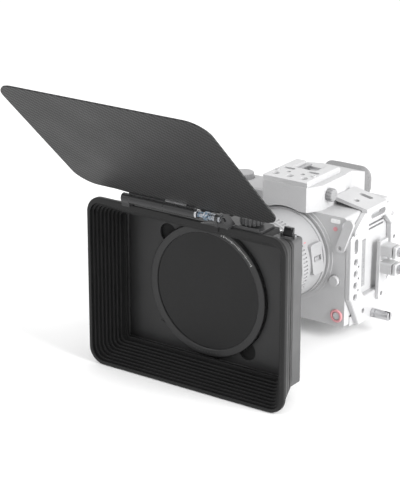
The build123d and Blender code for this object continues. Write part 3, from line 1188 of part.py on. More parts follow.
# ================================================================ cage
def cage_base_plate():
    """Base plate with the tripod thread, weight slots and locating holes."""
    plate = box(BASE_X0, SIDE_INNER_X, BASE_FRONT_Y, BASE_REAR_Y, 0, BASE_THICK)
    plate = fillet(plate.edges().filter_by(Axis.Z).group_by(Axis.X)[0], 4)
    plate = plate - cyl_z(0, 0, TRIPOD_R, -1, BASE_THICK + 1)
    for x in (-30, 30):
        plate = plate - prism_z(Pos(x, 6) * SlotOverall(22, 6.4, rotation=90), -1, 3)
    for x in (-LOCATE_X, LOCATE_X):
        plate = plate - cyl_z(x, 0, 2.1, -1, 4)
    return plate - cyl_x(THUMB_LEVER_Y, THUMB_LEVER_Z, 2.4 + RUN_FIT, SIDE_INNER_X - 10, SIDE_X + 1)


LOCATE_X = 9.0
THUMB_LEVER_Y = 7.0
THUMB_LEVER_Z = 4.2


def side_outline():
    """Outer edge of the side plate, front at low Y."""
    top = SIDE_TOP_Z
    front = BODY_FRONT_Y - STRAP_GAP
    return outline((front, 27), (front, 80), (front + 2, 82), (-8, top), (32, top), (44, 81), (45, 78), (45, 30),
                   (41, 22), (29, 14), (22, 0), (-15, 0), (-17, 3.4), (front + 2, 25))


SIDE_TOP_Z = 98.0
STRAP_GAP = 0.2


def side_window():
    return outline((-13, 30), (-13, 78), (-4, 88), (25, 88), (35.5, 77), (35.5, 31), (28, 24), (-7, 24))


def cage_side_plate():
    """Port-side plate: a frame with a window, a row of threaded holes and slots."""
    plate = prism_x(side_outline() - side_window(), SIDE_INNER_X, SIDE_X)
    outer = plate.edges().filter_by(GeomType.LINE).group_by(Axis.X)[-1]
    plate = chamfer(outer, 0.8)
    for i in range(CAGE_HOLES):
        z = CAGE_HOLE_Z0 + 1.5 + i * CAGE_HOLE_PITCH
        plate = plate - cyl_x(CAGE_HOLE_Y, z, CAGE_HOLE_R, SIDE_INNER_X - 1, SIDE_X + 1)
        plate = plate - cyl_x(CAGE_HOLE_Y, z, CAGE_HOLE_R + 0.7, SIDE_X - 0.7, SIDE_X + 1)
    for i in range(CAGE_HOLES - 1):
        z = CAGE_HOLE_Z0 + 1.5 + (i + 0.5) * CAGE_HOLE_PITCH
        plate = plate - cyl_x(CAGE_HOLE_Y + 4.6, z, 1.1, SIDE_INNER_X - 1, SIDE_X + 1)
    tall = Pos(CAGE_HOLE_Y, 73) * SlotOverall(13, 6, rotation=90)
    plate = plate - prism_x(tall, SIDE_INNER_X - 1, SIDE_X + 1)
    wide = Pos(12, 93.2) * SlotOverall(24, 5.4)
    plate = plate - prism_x(wide, SIDE_INNER_X - 1, SIDE_X + 1)
    plate = plate - cyl_x(-9, 11, 2.2, SIDE_INNER_X - 1, SIDE_X + 1)
    for z in (44, 64):
        plate = plate - cyl_x(40.3, z, 1.7, SIDE_INNER_X - 1, SIDE_X + 1)
    plate = plate - cyl_x(THUMB_LEVER_Y, THUMB_LEVER_Z, 2.4 + RUN_FIT, SIDE_INNER_X - 1, SIDE_X + 1)
    return plate


def cage_front_tab():
    """Slanted strap on the front of the body that ties the side plate to it."""
    y1 = BODY_FRONT_Y - STRAP_GAP
    y0 = y1 - 2.8
    length = hypot(8, 22) + 8.4
    angle = degrees(atan2(22, 8))
    strap = Pos(56.4, 83.6) * SlotOverall(length, 8.4, rotation=angle)
    tab = prism_y(strap, y0, y1)
    return tab - cyl_y(52.4, 72.6, 1.8, y0 - 1, y0 + 1.6)


def cage_wing():
    """Shoulder plate that joins the side plate to the hump."""
    t = 3.0
    inner_x = HUMP_WIDE + SKIN_GAP
    top = 107.0
    profile = outline((inner_x, top), (SIDE_X, SIDE_TOP_Z + 3), (SIDE_X, SIDE_TOP_Z), (SIDE_INNER_X - 0.2, SIDE_TOP_Z),
                      (SIDE_INNER_X - 0.2, BODY_TOP_Z + 0.2), (inner_x + 3, top - t - 1), (inner_x, top - t))
    wing = prism_y(profile, -7, 26)
    wing = wing - prism_z(Pos(46, 17) * SlotOverall(14, 5), 90, 120)
    return wing - cyl_z(46, 2, 2.6, 90, 120)


def cage_top_plate():
    """Top plate over the hump with mounting holes and an opening for the shoe."""
    z0 = HUMP_TOP_Z
    z1 = z0 + TOP_PLATE_THICK
    half = TOP_PLATE_WIDTH / 2
    plate = box(-half, half, HUMP_FRONT_Y + 0.5, TOP_PLATE_REAR_Y, z0, z1)
    plate = chamfer(plate.edges().group_by(Axis.Z)[-1], 1.0)
    opening = box(-SHOE_CUT_HALF - 0.5, SHOE_CUT_HALF + 0.5, SHOE_FRONT_Y - 0.5, TOP_PLATE_REAR_Y + 2, z0 - 1, z1 + 1)
    plate = plate - opening
    for x in (-14, 0, 14):
        plate = plate - cyl_z(x, HUMP_FRONT_Y + 8, CAGE_HOLE_R, z0 - 1, z1 + 1)
        plate = plate - cyl_z(x, HUMP_FRONT_Y + 8, CAGE_HOLE_R + 0.7, z1 - 0.7, z1 + 1)
    for x in (-7, 7):
        plate = plate - cyl_z(x, HUMP_FRONT_Y + 17, 2.1, z0 - 1, z1 + 1)
    slots = [Pos(x, HUMP_FRONT_Y + 25.5) * SlotOverall(12, 4.4) for x in (-12, 12)]
    for slot in slots:
        plate = plate - prism_z(slot, z0 - 1, z1 + 1)
    return plate


def cage_screws():
    """Socket-head screws that hold the top plate and the side plate."""
    screws = []
    for x in (-18.0, 18.0):
        y = HUMP_FRONT_Y + 17
        screws.append(cyl_z(x, y, 1.9, HUMP_TOP_Z + TOP_PLATE_THICK, HUMP_TOP_Z + TOP_PLATE_THICK + 0.9)
                      - hex_socket_z(x, y, 1.8, HUMP_TOP_Z + TOP_PLATE_THICK + 0.2, HUMP_TOP_Z + 10))
    for y, z in ((-25.5, 84.4), (38.5, 30.0), (36.6, 86.0)):
        screws.append(cyl_x(y, z, 1.9, SIDE_X, SIDE_X + 0.8) - hex_socket_x(y, z, 1.8, SIDE_X + 0.2, SIDE_X + 2))
    return group(*screws)


CLAMP_Y = 17.6
CLAMP_BLOCKS = (44.5, 60.0)


def cable_clamp_bracket():
    """Bracket across the window that carries the two cable clamp blocks."""
    x0 = SIDE_X + 0.2
    arm = prism_x(outline((CLAMP_Y - 7, 16), (CLAMP_Y + 3, 16), (CLAMP_Y + 6, 30), (CLAMP_Y + 7, 68),
                          (CLAMP_Y - 6, 68), (CLAMP_Y - 7, 30)), x0, x0 + 3)
    bracket = arm
    for z in CLAMP_BLOCKS:
        block = box(x0 + 3, x0 + 14, CLAMP_Y - 6, CLAMP_Y + 6, z - 5.2, z + 5.2)
        block = fillet(block.edges().filter_by(Axis.X), 1.5)
        bracket = bracket + block
    for z in CLAMP_BLOCKS:
        bracket = bracket - cyl_x(CLAMP_Y, z, 1.5 + RUN_FIT, x0 + 4, x0 + 20)
    return bracket - cyl_x(CLAMP_Y - 2, 20, 2.0, x0 - 1, x0 + 5)


def cable_clamp_jaw(z):
    """Loose jaw of one cable clamp, pulled in by its screw."""
    x0 = SIDE_X + 0.2 + 14 + 1.5
    jaw = box(x0, x0 + 2.4, CLAMP_Y - 6, CLAMP_Y + 6, z - 5.2, z + 5.2)
    jaw = fillet(jaw.edges().filter_by(Axis.X), 1.5)
    return jaw - cyl_x(CLAMP_Y, z, 1.5 + RUN_FIT, x0 - 1, x0 + 4)


def cable_clamp_screw(z):
    """Thumb screw of one cable clamp, along X."""
    x0 = SIDE_X + 0.2 + 14 + 1.5 + 2.4
    head = cyl_x(CLAMP_Y, z, 3.8, x0 + 0.1, x0 + 4.1)
    flutes = [cyl_x(CLAMP_Y + 4.0 * cos(radians(a)), z + 4.0 * sin(radians(a)), 0.6, x0 - 1, x0 + 6)
              for a in range(0, 360, 30)]
    head = head - flutes - hex_socket_x(CLAMP_Y, z, 3.0, x0 + 2.2, x0 + 6)
    return head + cyl_x(CLAMP_Y, z, 1.5, SIDE_X + 0.2 + 6.6, x0 + 0.2)


def base_thumb_screw():
    """Long forked screw in the end of the base plate."""
    y = THUMB_LEVER_Y
    z = THUMB_LEVER_Z
    shank = cyl_x(y, z, 2.4, SIDE_INNER_X - 8, SIDE_X + 0.4)
    head = cyl_x(y, z, 3.9, SIDE_X + 0.4, SIDE_X + 17)
    fork = box(SIDE_X + 12, SIDE_X + 18, y - 1.1, y + 1.1, z - 5, z + 5)
    neck = cyl_x(y, z, 5, SIDE_X + 3.4, SIDE_X + 4.4) - cyl_x(y, z, 3.1, SIDE_X + 3, SIDE_X + 5)
    return shank + head - fork - neck


# ================================================================ groups of fixed pieces
def matte_box_pins():
    """Steel pins and fasteners of the matte box: hinge pin, friction washers, latch pin, hood screws."""
    return group(hinge_pin(), friction_stack(), latch_pin(), hood_screws())


def filter_base():
    """What stays still in the tray: base ring, rear glass and locking screw."""
    return group(filter_ring_base(), filter_glass_rear(), tray_screw())


def flag_clamp():
    return group(flag_clamp_strip(), flag_edge_strip(), hinge_end_nut())


def flag_supports():
    """The bent bracket on the right and the knuckle block on the left."""
    return group(flag_bracket(), hinge_knuckle())


def lens_fixed_tube():
    return group(lens_inner_tube(), lens_mid_rings())


def lens_elements():
    return group(lens_front_glass(), lens_middle_glass(), lens_rear_glass(), iris_ring())


def mount_rings():
    return group(camera_mount_ring(), lens_bayonet())


def front_trim():
    return group(record_bezel(), front_badge())


def sensor_unit():
    return group(image_sensor(), sensor_plate())


def board_and_cooler():
    return group(main_board(), heat_sink(), fan_frame())


def cage_braces():
    """Shoulder wing, front strap and the screws that hold the cage together."""
    return group(cage_wing(), cage_front_tab(), cage_screws())


# ================================================================ write the parts
NODES = {
    "hood_shell": hood_shell,
    "filter_frame": filter_frame,
    "collar_screw": collar_screw,
    "tray_latch": tray_latch,
    "filter_tray": filter_tray,
    "filter_base": filter_base,
    "filter_ring_front": filter_ring_front,
    "filter_glass_front": filter_glass_front,
    "flag_panel": flag_panel,
    "hinge_barrel": hinge_barrel,
    "flag_clamp": flag_clamp,
    "flag_supports": flag_supports,
    "matte_box_pins": matte_box_pins,
    "bracket_thumb_screw": bracket_thumb_screw,
    "lens_front_barrel": lens_front_barrel,
    "lens_fixed_tube": lens_fixed_tube,
    "focus_ring": lambda: ribbed_ring(*FOCUS_RING, 60),
    "zoom_ring": lambda: ribbed_ring(*ZOOM_RING, 48),
    "control_ring": lambda: ribbed_ring(*CONTROL_RING, 72),
    "lens_rear_barrel": lens_rear_barrel,
    "focus_switch": lambda: lens_switch(LENS_Z),
    "lens_elements": lens_elements,
    "mount_rings": mount_rings,
    "body_front_shell": body_front_shell,
    "body_rear_shell": body_rear_shell,
    "grip": grip,
    "battery": battery,
    "battery_door": battery_door,
    "top_deck": top_deck,
    "mode_dial": lambda: dial(MODE_DIAL, 5.0, 30),
    "front_dial": lambda: dial(FRONT_DIAL, 2.6, 22),
    "shutter_button": shutter_button,
    "viewfinder_housing": viewfinder_housing,
    "hot_shoe": hot_shoe,
    "eyepiece_glass": eyepiece_glass,
    "eyecup": eyecup,
    "diopter_knob": diopter_knob,
    "front_trim": front_trim,
    "record_button": record_button,
    "lens_release_button": lens_release_button,
    "port_door": port_door,
    "sensor_unit": sensor_unit,
    "board_and_cooler": board_and_cooler,
    "fan_rotor": fan_rotor,
    "rear_wheel": rear_wheel,
    "rear_buttons": rear_buttons,
    "joystick": joystick,
    "screen": screen,
    "screen_glass": screen_glass,
    "screen_hinge": screen_hinge,
    "cage_base_plate": cage_base_plate,
    "cage_side_plate": cage_side_plate,
    "cage_braces": cage_braces,
    "cage_top_plate": cage_top_plate,
    "cable_clamp_bracket": cable_clamp_bracket,
    "cable_clamp_jaw_low": lambda: cable_clamp_jaw(CLAMP_BLOCKS[0]),
    "cable_clamp_jaw_high": lambda: cable_clamp_jaw(CLAMP_BLOCKS[1]),
    "cable_clamp_screw_low": lambda: cable_clamp_screw(CLAMP_BLOCKS[0]),
    "cable_clamp_screw_high": lambda: cable_clamp_screw(CLAMP_BLOCKS[1]),
    "base_thumb_screw": base_thumb_screw,
}

os.makedirs("parts", exist_ok=True)
for name, make in NODES.items():
    export_step(make(), f"parts/{name}.step")
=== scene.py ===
"""Looks of the cinema camera rig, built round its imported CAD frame. Metres, in the CAD's own frame."""
import json
from math import cos, radians, sin

import bmesh
import bpy
from mathutils import Matrix, Vector


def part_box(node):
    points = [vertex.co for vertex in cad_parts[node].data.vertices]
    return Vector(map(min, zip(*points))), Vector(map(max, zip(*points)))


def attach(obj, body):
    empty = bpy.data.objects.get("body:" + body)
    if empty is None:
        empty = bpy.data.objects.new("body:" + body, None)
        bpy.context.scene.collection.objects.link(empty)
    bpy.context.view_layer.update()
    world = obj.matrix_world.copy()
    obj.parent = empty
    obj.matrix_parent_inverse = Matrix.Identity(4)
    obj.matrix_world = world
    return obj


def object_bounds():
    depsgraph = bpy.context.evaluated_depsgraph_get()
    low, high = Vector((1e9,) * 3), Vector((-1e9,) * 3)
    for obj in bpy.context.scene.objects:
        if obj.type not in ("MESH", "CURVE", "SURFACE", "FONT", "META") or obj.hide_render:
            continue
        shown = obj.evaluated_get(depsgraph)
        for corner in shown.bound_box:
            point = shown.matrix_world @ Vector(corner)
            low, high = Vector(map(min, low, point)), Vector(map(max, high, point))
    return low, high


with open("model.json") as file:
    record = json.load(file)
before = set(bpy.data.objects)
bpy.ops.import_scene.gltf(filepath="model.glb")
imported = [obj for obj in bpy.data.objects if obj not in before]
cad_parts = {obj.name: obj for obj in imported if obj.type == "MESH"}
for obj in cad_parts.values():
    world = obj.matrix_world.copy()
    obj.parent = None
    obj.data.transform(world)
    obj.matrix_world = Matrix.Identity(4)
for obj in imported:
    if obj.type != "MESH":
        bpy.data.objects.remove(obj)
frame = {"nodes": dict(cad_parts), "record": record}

CAD_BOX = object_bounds()
MM = 0.001
NODES = frame["nodes"]
LENS_Z = 60 * MM


# ================================================================ material building
class Surface:
    """A node material being put together. Sockets that vary are linked; even values are set on the shader."""

    def __init__(self, name, metallic=0.0, ior=1.5, coat=0.0, coat_rough=0.1, sheen=0.0, specular=0.5):
        self.material = bpy.data.materials.new(name)
        self.material.use_nodes = True
        self.tree = self.material.node_tree
        self.tree.nodes.clear()
        self.shader = self.add("ShaderNodeBsdfPrincipled")
        even = {"Metallic": metallic, "IOR": ior, "Coat Weight": coat, "Coat Roughness": coat_rough,
                "Sheen Weight": sheen, "Specular IOR Level": specular}
        for socket, value in even.items():
            self.shader.inputs[socket].default_value = value
        output = self.add("ShaderNodeOutputMaterial")
        self.link(self.shader.outputs[0], output.inputs["Surface"])
        self.place = self.add("ShaderNodeTexCoord").outputs["Object"]

    def add(self, kind, **fields):
        node = self.tree.nodes.new(kind)
        for field, value in fields.items():
            setattr(node, field, value)
        return node

    def link(self, source, socket):
        self.tree.links.new(source, socket)

    def feed(self, socket, value):
        """Link a node output to a socket, or set a plain number or colour on it."""
        if isinstance(value, bpy.types.NodeSocket):
            self.link(value, socket)
        elif isinstance(value, (tuple, list)) and len(value) == 3 and socket.type == "RGBA":
            socket.default_value = (*value, 1)
        else:
            socket.default_value = value

    def math(self, operation, a, b=None, clamp=False):
        node = self.add("ShaderNodeMath", operation=operation, use_clamp=clamp)
        self.feed(node.inputs[0], a)
        if b is not None:
            self.feed(node.inputs[1], b)
        return node.outputs[0]

    def along(self, direction):
        """Distance of the shaded point along a direction, in metres."""
        node = self.add("ShaderNodeVectorMath", operation="DOT_PRODUCT")
        self.link(self.place, node.inputs[0])
        node.inputs[1].default_value = direction
        return node.outputs["Value"]

    def noise(self, size, detail=3.0, roughness=0.55, stretch=(1, 1, 1)):
        """Noise whose blobs are about size metres across, stretched along an axis by its factor."""
        scaled = self.add("ShaderNodeMapping")
        self.link(self.place, scaled.inputs["Vector"])
        scaled.inputs["Scale"].default_value = [1 / s for s in stretch]
        node = self.add("ShaderNodeTexNoise")
        self.link(scaled.outputs[0], node.inputs["Vector"])
        node.inputs["Scale"].default_value = 1 / size
        node.inputs["Detail"].default_value = detail
        node.inputs["Roughness"].default_value = roughness
        return node.outputs["Fac"]

    def cells(self, size, feature="DISTANCE_TO_EDGE"):
        node = self.add("ShaderNodeTexVoronoi", feature=feature)
        self.link(self.place, node.inputs["Vector"])
        node.inputs["Scale"].default_value = 1 / size
        return node.outputs["Distance"]

    def spread(self, value, low, high, start=0.3, end=0.7):
        """Map value from start..end to low..high, clamped."""
        node = self.add("ShaderNodeMapRange")
        for socket, number in (("From Min", start), ("From Max", end), ("To Min", low), ("To Max", high)):
            node.inputs[socket].default_value = number
        self.link(value, node.inputs["Value"])
        return node.outputs["Result"]

    def mix(self, share, a, b):
        """Colour a where share is 0, b where it is 1."""
        node = self.add("ShaderNodeMix", data_type="RGBA")
        self.feed(node.inputs["Factor"], share)
        self.feed(node.inputs[6], a)
        self.feed(node.inputs[7], b)
        return node.outputs[2]

    def blend(self, share, a, b):
        """Number a where share is 0, b where it is 1."""
        node = self.add("ShaderNodeMix", data_type="FLOAT")
        self.feed(node.inputs["Factor"], share)
        self.feed(node.inputs[2], a)
        self.feed(node.inputs[3], b)
        return node.outputs[0]

    def soft_edges(self, radius):
        """The surface normal with its sharp edges rounded off by radius."""
        node = self.add("ShaderNodeBevel", samples=4)
        node.inputs["Radius"].default_value = radius
        return node.outputs["Normal"]

    def edge_mask(self, rounded, start=0.02, end=0.22):
        """1 on sharp edges, 0 on flat faces."""
        normal = self.add("ShaderNodeNewGeometry").outputs["Normal"]
        dot = self.add("ShaderNodeVectorMath", operation="DOT_PRODUCT")
        self.link(rounded, dot.inputs[0])
        self.link(normal, dot.inputs[1])
        return self.spread(self.math("SUBTRACT", 1.0, dot.outputs["Value"]), 0, 1, start, end)

    def bump(self, height, depth, below=None):
        """Raise the surface by depth metres where height is 1, on top of another normal."""
        node = self.add("ShaderNodeBump")
        node.inputs["Distance"].default_value = depth
        self.link(height, node.inputs["Height"])
        if below is not None:
            self.link(below, node.inputs["Normal"])
        return node.outputs["Normal"]

    def finish(self, colour, rough, normal=None):
        self.feed(self.shader.inputs["Base Color"], colour)
        self.feed(self.shader.inputs["Roughness"], rough)
        if normal is not None:
            self.link(normal, self.shader.inputs["Normal"])
        return self.material


def tint(colour, factor):
    return tuple(min(1.0, c * factor) for c in colour)


def coated(name, colour, rough, grain, depth, edge=0.25 * MM, wear_and_highlight=1.5, spread=0.10, **shader):
    """Painted, moulded or anodised surface: cloudy tone, fine grain, and lighter edges that are partly wear
    and partly a painted edge highlight.
    """
    s = Surface(name, **shader)
    clouds = s.noise(22 * MM, detail=4)
    speck = s.noise(grain, detail=2, roughness=0.7)
    rounded = s.soft_edges(edge)
    base = s.mix(s.spread(clouds, 0, 1), tint(colour, 1 - spread), tint(colour, 1 + spread))
    base = s.mix(s.spread(speck, 0, 0.35), base, tint(colour, 1.35))
    patches = s.spread(s.noise(3 * MM, detail=5), 0.25, 1.0, 0.35, 0.6)
    # lighter edges in patches: partly worn finish, partly a painted edge highlight
    worn_and_highlit_edges = s.math("MULTIPLY", s.edge_mask(rounded), patches)
    base = s.mix(worn_and_highlit_edges, base, tint(colour, wear_and_highlight))
    unevenness = s.math("ADD", clouds, s.math("MULTIPLY", speck, 0.3))
    finish = s.spread(unevenness, rough - 0.05, rough + 0.07, 0.4, 0.9)
    return s.finish(base, finish, s.bump(speck, depth, rounded))


def brushed(name, colour, rough, direction, line=0.12 * MM, length=30, depth=0.004 * MM, metallic=1.0):
    """Bare metal with fine lines along a direction."""
    s = Surface(name, metallic=metallic)
    stretch = [length if axis == direction else 1 for axis in range(3)]
    lines = s.noise(line, detail=2, stretch=stretch)
    clouds = s.noise(9 * MM, detail=4)
    rounded = s.soft_edges(0.2 * MM)
    base = s.mix(s.spread(lines, 0, 1), tint(colour, 0.82), tint(colour, 1.12))
    base = s.mix(s.spread(clouds, 0, 0.3), base, tint(colour, 0.75))
    return s.finish(base, s.spread(lines, rough - 0.06, rough + 0.08), s.bump(lines, depth, rounded))


def rubber(name, colour, rough, pebble, depth, sheen=0.15):
    """Moulded rubber with a leather-like pebble grain."""
    s = Surface(name, sheen=sheen, specular=0.35)
    grain = s.spread(s.cells(pebble), 0, 1, 0.02, 0.30)
    clouds = s.noise(12 * MM, detail=4)
    rounded = s.soft_edges(0.3 * MM)
    base = s.mix(s.spread(clouds, 0, 1), tint(colour, 0.9), tint(colour, 1.1))
    base = s.mix(grain, tint(colour, 0.72), base)
    return s.finish(base, s.spread(clouds, rough - 0.05, rough + 0.08), s.bump(grain, depth, rounded))


TOW = 1.73 * MM                 # width of one flat tow in the flag's weave
FLAG_RISE = radians(45)         # rise of the flag above the horizontal at rest


def carbon_twill(name, dark, light):
    """2/2 twill of flat tows under a satin resin, on the plane of the flag."""
    s = Surface(name, coat=0.04, coat_rough=0.35, specular=0.16)
    across = s.math("DIVIDE", s.along((1, 0, 0)), TOW)
    down = s.math("DIVIDE", s.along((0, cos(FLAG_RISE), -sin(FLAG_RISE))), TOW)
    step = s.math("SUBTRACT", s.math("FLOOR", across), s.math("FLOOR", down))
    over = s.math("LESS_THAN", s.math("FLOORED_MODULO", step, 4.0), 1.5)
    crowns = []
    for place in (across, down):
        offset = s.math("SUBTRACT", s.math("FRACT", place), 0.5)
        crowns.append(s.math("SUBTRACT", 1.0, s.math("MULTIPLY", s.math("MULTIPLY", offset, offset), 4.0)))
    crown = s.blend(over, crowns[1], crowns[0])
    fibres = s.blend(over, s.noise(0.12 * MM, stretch=(25, 1, 1)), s.noise(0.12 * MM, stretch=(1, 25, 25)))
    base = s.mix(over, dark, light)
    base = s.mix(s.spread(fibres, 0, 0.4), base, tint(light, 1.3))
    base = s.mix(s.spread(crown, 0.55, 0.0, 0.0, 0.5), base, tint(dark, 0.45))
    clouds = s.noise(40 * MM, detail=3)
    rough = s.math("ADD", s.blend(over, 0.52, 0.40), s.spread(clouds, -0.04, 0.05))
    rounded = s.soft_edges(0.3 * MM)
    return s.finish(base, rough, s.bump(fibres, 0.01 * MM, s.bump(crown, 0.05 * MM, rounded)))


def dark_glass(name, colour, haze, specular, coat):
    """Deep neutral glass with a faint smear; an antireflection coating lowers its shine."""
    s = Surface(name, ior=1.52, coat=coat, coat_rough=0.04, specular=specular)
    smear = s.noise(30 * MM, detail=5, stretch=(1, 1, 2.5))
    dust = s.noise(0.6 * MM, detail=1)
    base = s.mix(s.spread(smear, 0, 1), tint(colour, 0.85), tint(colour, 1.2))
    base = s.mix(s.spread(dust, 0, 0.10, 0.66, 0.85), base, (0.06, 0.06, 0.06))
    return s.finish(base, s.spread(smear, haze, haze + 0.08))


def clear_glass(name, colour):
    """Optical glass with a faint coloured coating."""
    s = Surface(name, ior=1.6, coat=0.5, coat_rough=0.03)
    s.shader.inputs["Transmission Weight"].default_value = 0.9
    facing = s.add("ShaderNodeLayerWeight").outputs["Facing"]
    base = s.mix(facing, colour, (0.55, 0.85, 0.7))
    smear = s.noise(15 * MM, detail=4)
    return s.finish(base, s.spread(smear, 0.02, 0.07))


NUT_START = (13 * MM, 17 * MM)  # the threadlocker fades in and out along X, beside the lock nut
NUT_END = (27 * MM, 33 * MM)


def threadlocked_steel(name):
    """Satin steel with dabs of dried blue threadlocker near the lock nut."""
    s = Surface(name, metallic=0.9)
    lines = s.noise(0.15 * MM, detail=3, stretch=(1, 8, 8))
    dab = s.noise(1.6 * MM, detail=3)
    near = s.math("MULTIPLY", s.spread(s.along((1, 0, 0)), 0, 1, *NUT_START),
                  s.spread(s.along((1, 0, 0)), 1, 0, *NUT_END))
    blue = s.math("MULTIPLY", near, s.spread(dab, 0, 0.8, 0.42, 0.55))
    base = s.mix(s.spread(lines, 0, 1), (0.22, 0.23, 0.25), (0.45, 0.46, 0.48))
    base = s.mix(blue, base, (0.04, 0.12, 0.20))
    rough = s.blend(blue, s.spread(lines, 0.25, 0.42), 0.5)
    return s.finish(base, rough, s.bump(lines, 0.006 * MM, s.soft_edges(0.25 * MM)))


def circuit(name):
    """Green board with a copper pattern under the lacquer."""
    s = Surface(name, coat=0.3)
    tracks = s.spread(s.cells(2.2 * MM), 0, 1, 0.03, 0.06)
    clouds = s.noise(10 * MM)
    base = s.mix(tracks, (0.10, 0.16, 0.07), (0.012, 0.07, 0.035))
    base = s.mix(s.spread(clouds, 0, 0.3), base, (0.01, 0.04, 0.02))
    return s.finish(base, s.spread(clouds, 0.35, 0.5), s.bump(tracks, 0.03 * MM))


SLOT_Y = (-146.2 * MM, -145.9 * MM)     # the frame is painted near-black between these places behind the tray, as painted shade in the deep slot
SLOT_HALF_WIDTH = (81.0 * MM, 81.6 * MM)


def frame_with_painted_shade(name):
    """Black anodised frame: satin outside with painted highlights on its edges; inside the slot behind the
    tray, matte with near-black painted shade.
    """
    s = Surface(name, specular=0.5)
    inside = s.spread(s.along((0, 1, 0)), 0, 1, *SLOT_Y)
    within = s.spread(s.math("ABSOLUTE", s.along((1, 0, 0))), 1, 0, *SLOT_HALF_WIDTH)
    painted_shade = s.math("MULTIPLY", inside, within)
    speck = s.noise(0.2 * MM, detail=2, roughness=0.7)
    clouds = s.noise(20 * MM, detail=4)
    rounded = s.soft_edges(0.25 * MM)
    outer = s.mix(s.spread(clouds, 0, 1), (0.060, 0.060, 0.061), (0.078, 0.078, 0.079))
    # lighter edges: a painted edge highlight
    outer = s.mix(s.edge_mask(rounded), outer, (0.16, 0.16, 0.16))
    # painted shade: near-black where the deep slot behind the tray lies in shadow
    base = s.mix(painted_shade, outer, (0.004, 0.004, 0.004))
    return s.finish(base, s.blend(painted_shade, 0.44, 0.85), s.bump(speck, 0.008 * MM, rounded))


BADGE_LOW = (91.5 * MM, 91.8 * MM)      # the trim above this height is the pale badge


def red_trim(name):
    """Red anodised trim, with the upper badge in plain pale enamel."""
    s = Surface(name, coat=0.2)
    upper = s.spread(s.along((0, 0, 1)), 0, 1, *BADGE_LOW)
    clouds = s.noise(2.5 * MM, detail=4)
    rounded = s.soft_edges(0.2 * MM)
    base = s.mix(s.spread(clouds, 0, 1), (0.55, 0.24, 0.26), (0.70, 0.33, 0.35))
    pale = s.mix(s.spread(clouds, 0, 1), (0.74, 0.74, 0.74), (0.84, 0.84, 0.84))
    base = s.mix(upper, base, pale)
    return s.finish(base, s.spread(clouds, 0.3, 0.42), s.bump(clouds, 0.01 * MM, rounded))


def printed(name, colour, rough=0.55):
    """Ink of the printed marks, slightly uneven."""
    s = Surface(name, specular=0.3)
    patchy = s.noise(0.35 * MM, detail=3)
    base = s.mix(s.spread(patchy, 0, 1), tint(colour, 0.75), colour)
    return s.finish(base, s.spread(patchy, rough - 0.05, rough + 0.1), s.bump(patchy, 0.01 * MM))


BODY_TONE = (0.44, 0.44, 0.445)
RUBBER_TONE = (0.33, 0.33, 0.335)
LENS_TONE = (0.31, 0.31, 0.315)
CAGE_TONE = (0.50, 0.50, 0.505)

FINISH = {
    # the seventh number of each coated finish lightens its edges, partly wear and partly a painted edge
    # highlight
    "hood_polymer": coated("hood_polymer", (0.012, 0.012, 0.0122), 0.42, 0.35 * MM, 0.012 * MM, 0.2 * MM, 4.5,
                           specular=0.22),
    "frame_black": coated("frame_black", (0.034, 0.034, 0.0345), 0.46, 0.20 * MM, 0.008 * MM, 0.25 * MM, 1.8,
                          specular=0.24),
    "frame_painted_shade": frame_with_painted_shade("frame_painted_shade"),
    "ring_black": coated("ring_black", (0.030, 0.030, 0.0305), 0.38, 0.15 * MM, 0.006 * MM, 0.25 * MM, 2.2,
                         specular=0.28),
    "filter_glass": dark_glass("filter_glass", (0.007, 0.007, 0.0073), 0.16, 0.23, 0.0),
    "carbon": carbon_twill("carbon", (0.010, 0.010, 0.0102), (0.034, 0.034, 0.0345)),
    "steel": brushed("steel", (0.55, 0.55, 0.56), 0.30, 0),
    "threadlocked_steel": threadlocked_steel("threadlocked_steel"),
    "black_metal": coated("black_metal", (0.030, 0.030, 0.031), 0.34, 0.18 * MM, 0.008 * MM, 0.25 * MM, 7.0,
                          metallic=0.2, specular=0.4),
    "lens_alloy": coated("lens_alloy", LENS_TONE, 0.42, 0.25 * MM, 0.010 * MM, 0.3 * MM, 1.35, 0.04),
    "lens_rubber": rubber("lens_rubber", RUBBER_TONE, 0.60, 0.8 * MM, 0.02 * MM),
    "optic_glass": clear_glass("optic_glass", (0.85, 0.92, 0.95)),
    "body_shell": coated("body_shell", BODY_TONE, 0.50, 0.45 * MM, 0.030 * MM, 0.5 * MM, 1.30, 0.04),
    "body_rubber": rubber("body_rubber", RUBBER_TONE, 0.62, 1.7 * MM, 0.10 * MM),
    "cage_alloy": coated("cage_alloy", CAGE_TONE, 0.36, 0.18 * MM, 0.008 * MM, 0.3 * MM, 1.35, 0.04,
                         metallic=0.25),
    "red_trim": red_trim("red_trim"),
    "screen_glass": dark_glass("screen_glass", (0.022, 0.023, 0.026), 0.04, 0.5, 0.6),
    "eyecup_rubber": rubber("eyecup_rubber", (0.22, 0.22, 0.222), 0.68, 0.9 * MM, 0.03 * MM, 0.3),
    "circuit": circuit("circuit"),
}
INK = printed("ink", (0.75, 0.75, 0.74))
PALE_INK = printed("pale_ink", (0.86, 0.86, 0.86))
DIM_INK = printed("dim_ink", (0.10, 0.10, 0.10))
RED_INK = printed("red_ink", (0.60, 0.20, 0.22))

SPECIAL = {"matte_box_pins": "threadlocked_steel", "filter_frame": "frame_painted_shade"}
slots = {row["node"]: row["material_slot"] for row in frame["record"]["subparts"]}
for node_name, node in NODES.items():
    chosen = FINISH[SPECIAL.get(node_name, slots[node_name])]
    node.data.materials.clear()
    node.data.materials.append(chosen)


# ================================================================ printed marks and small pieces
def piece(name, mesh, material, body):
    """Make an object from a bmesh, paint it and let it ride on a body."""
    data = bpy.data.meshes.new(name)
    mesh.to_mesh(data)
    mesh.free()
    obj = bpy.data.objects.new(name, data)
    bpy.context.scene.collection.objects.link(obj)
    data.materials.append(material)
    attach(obj, body)
    return obj


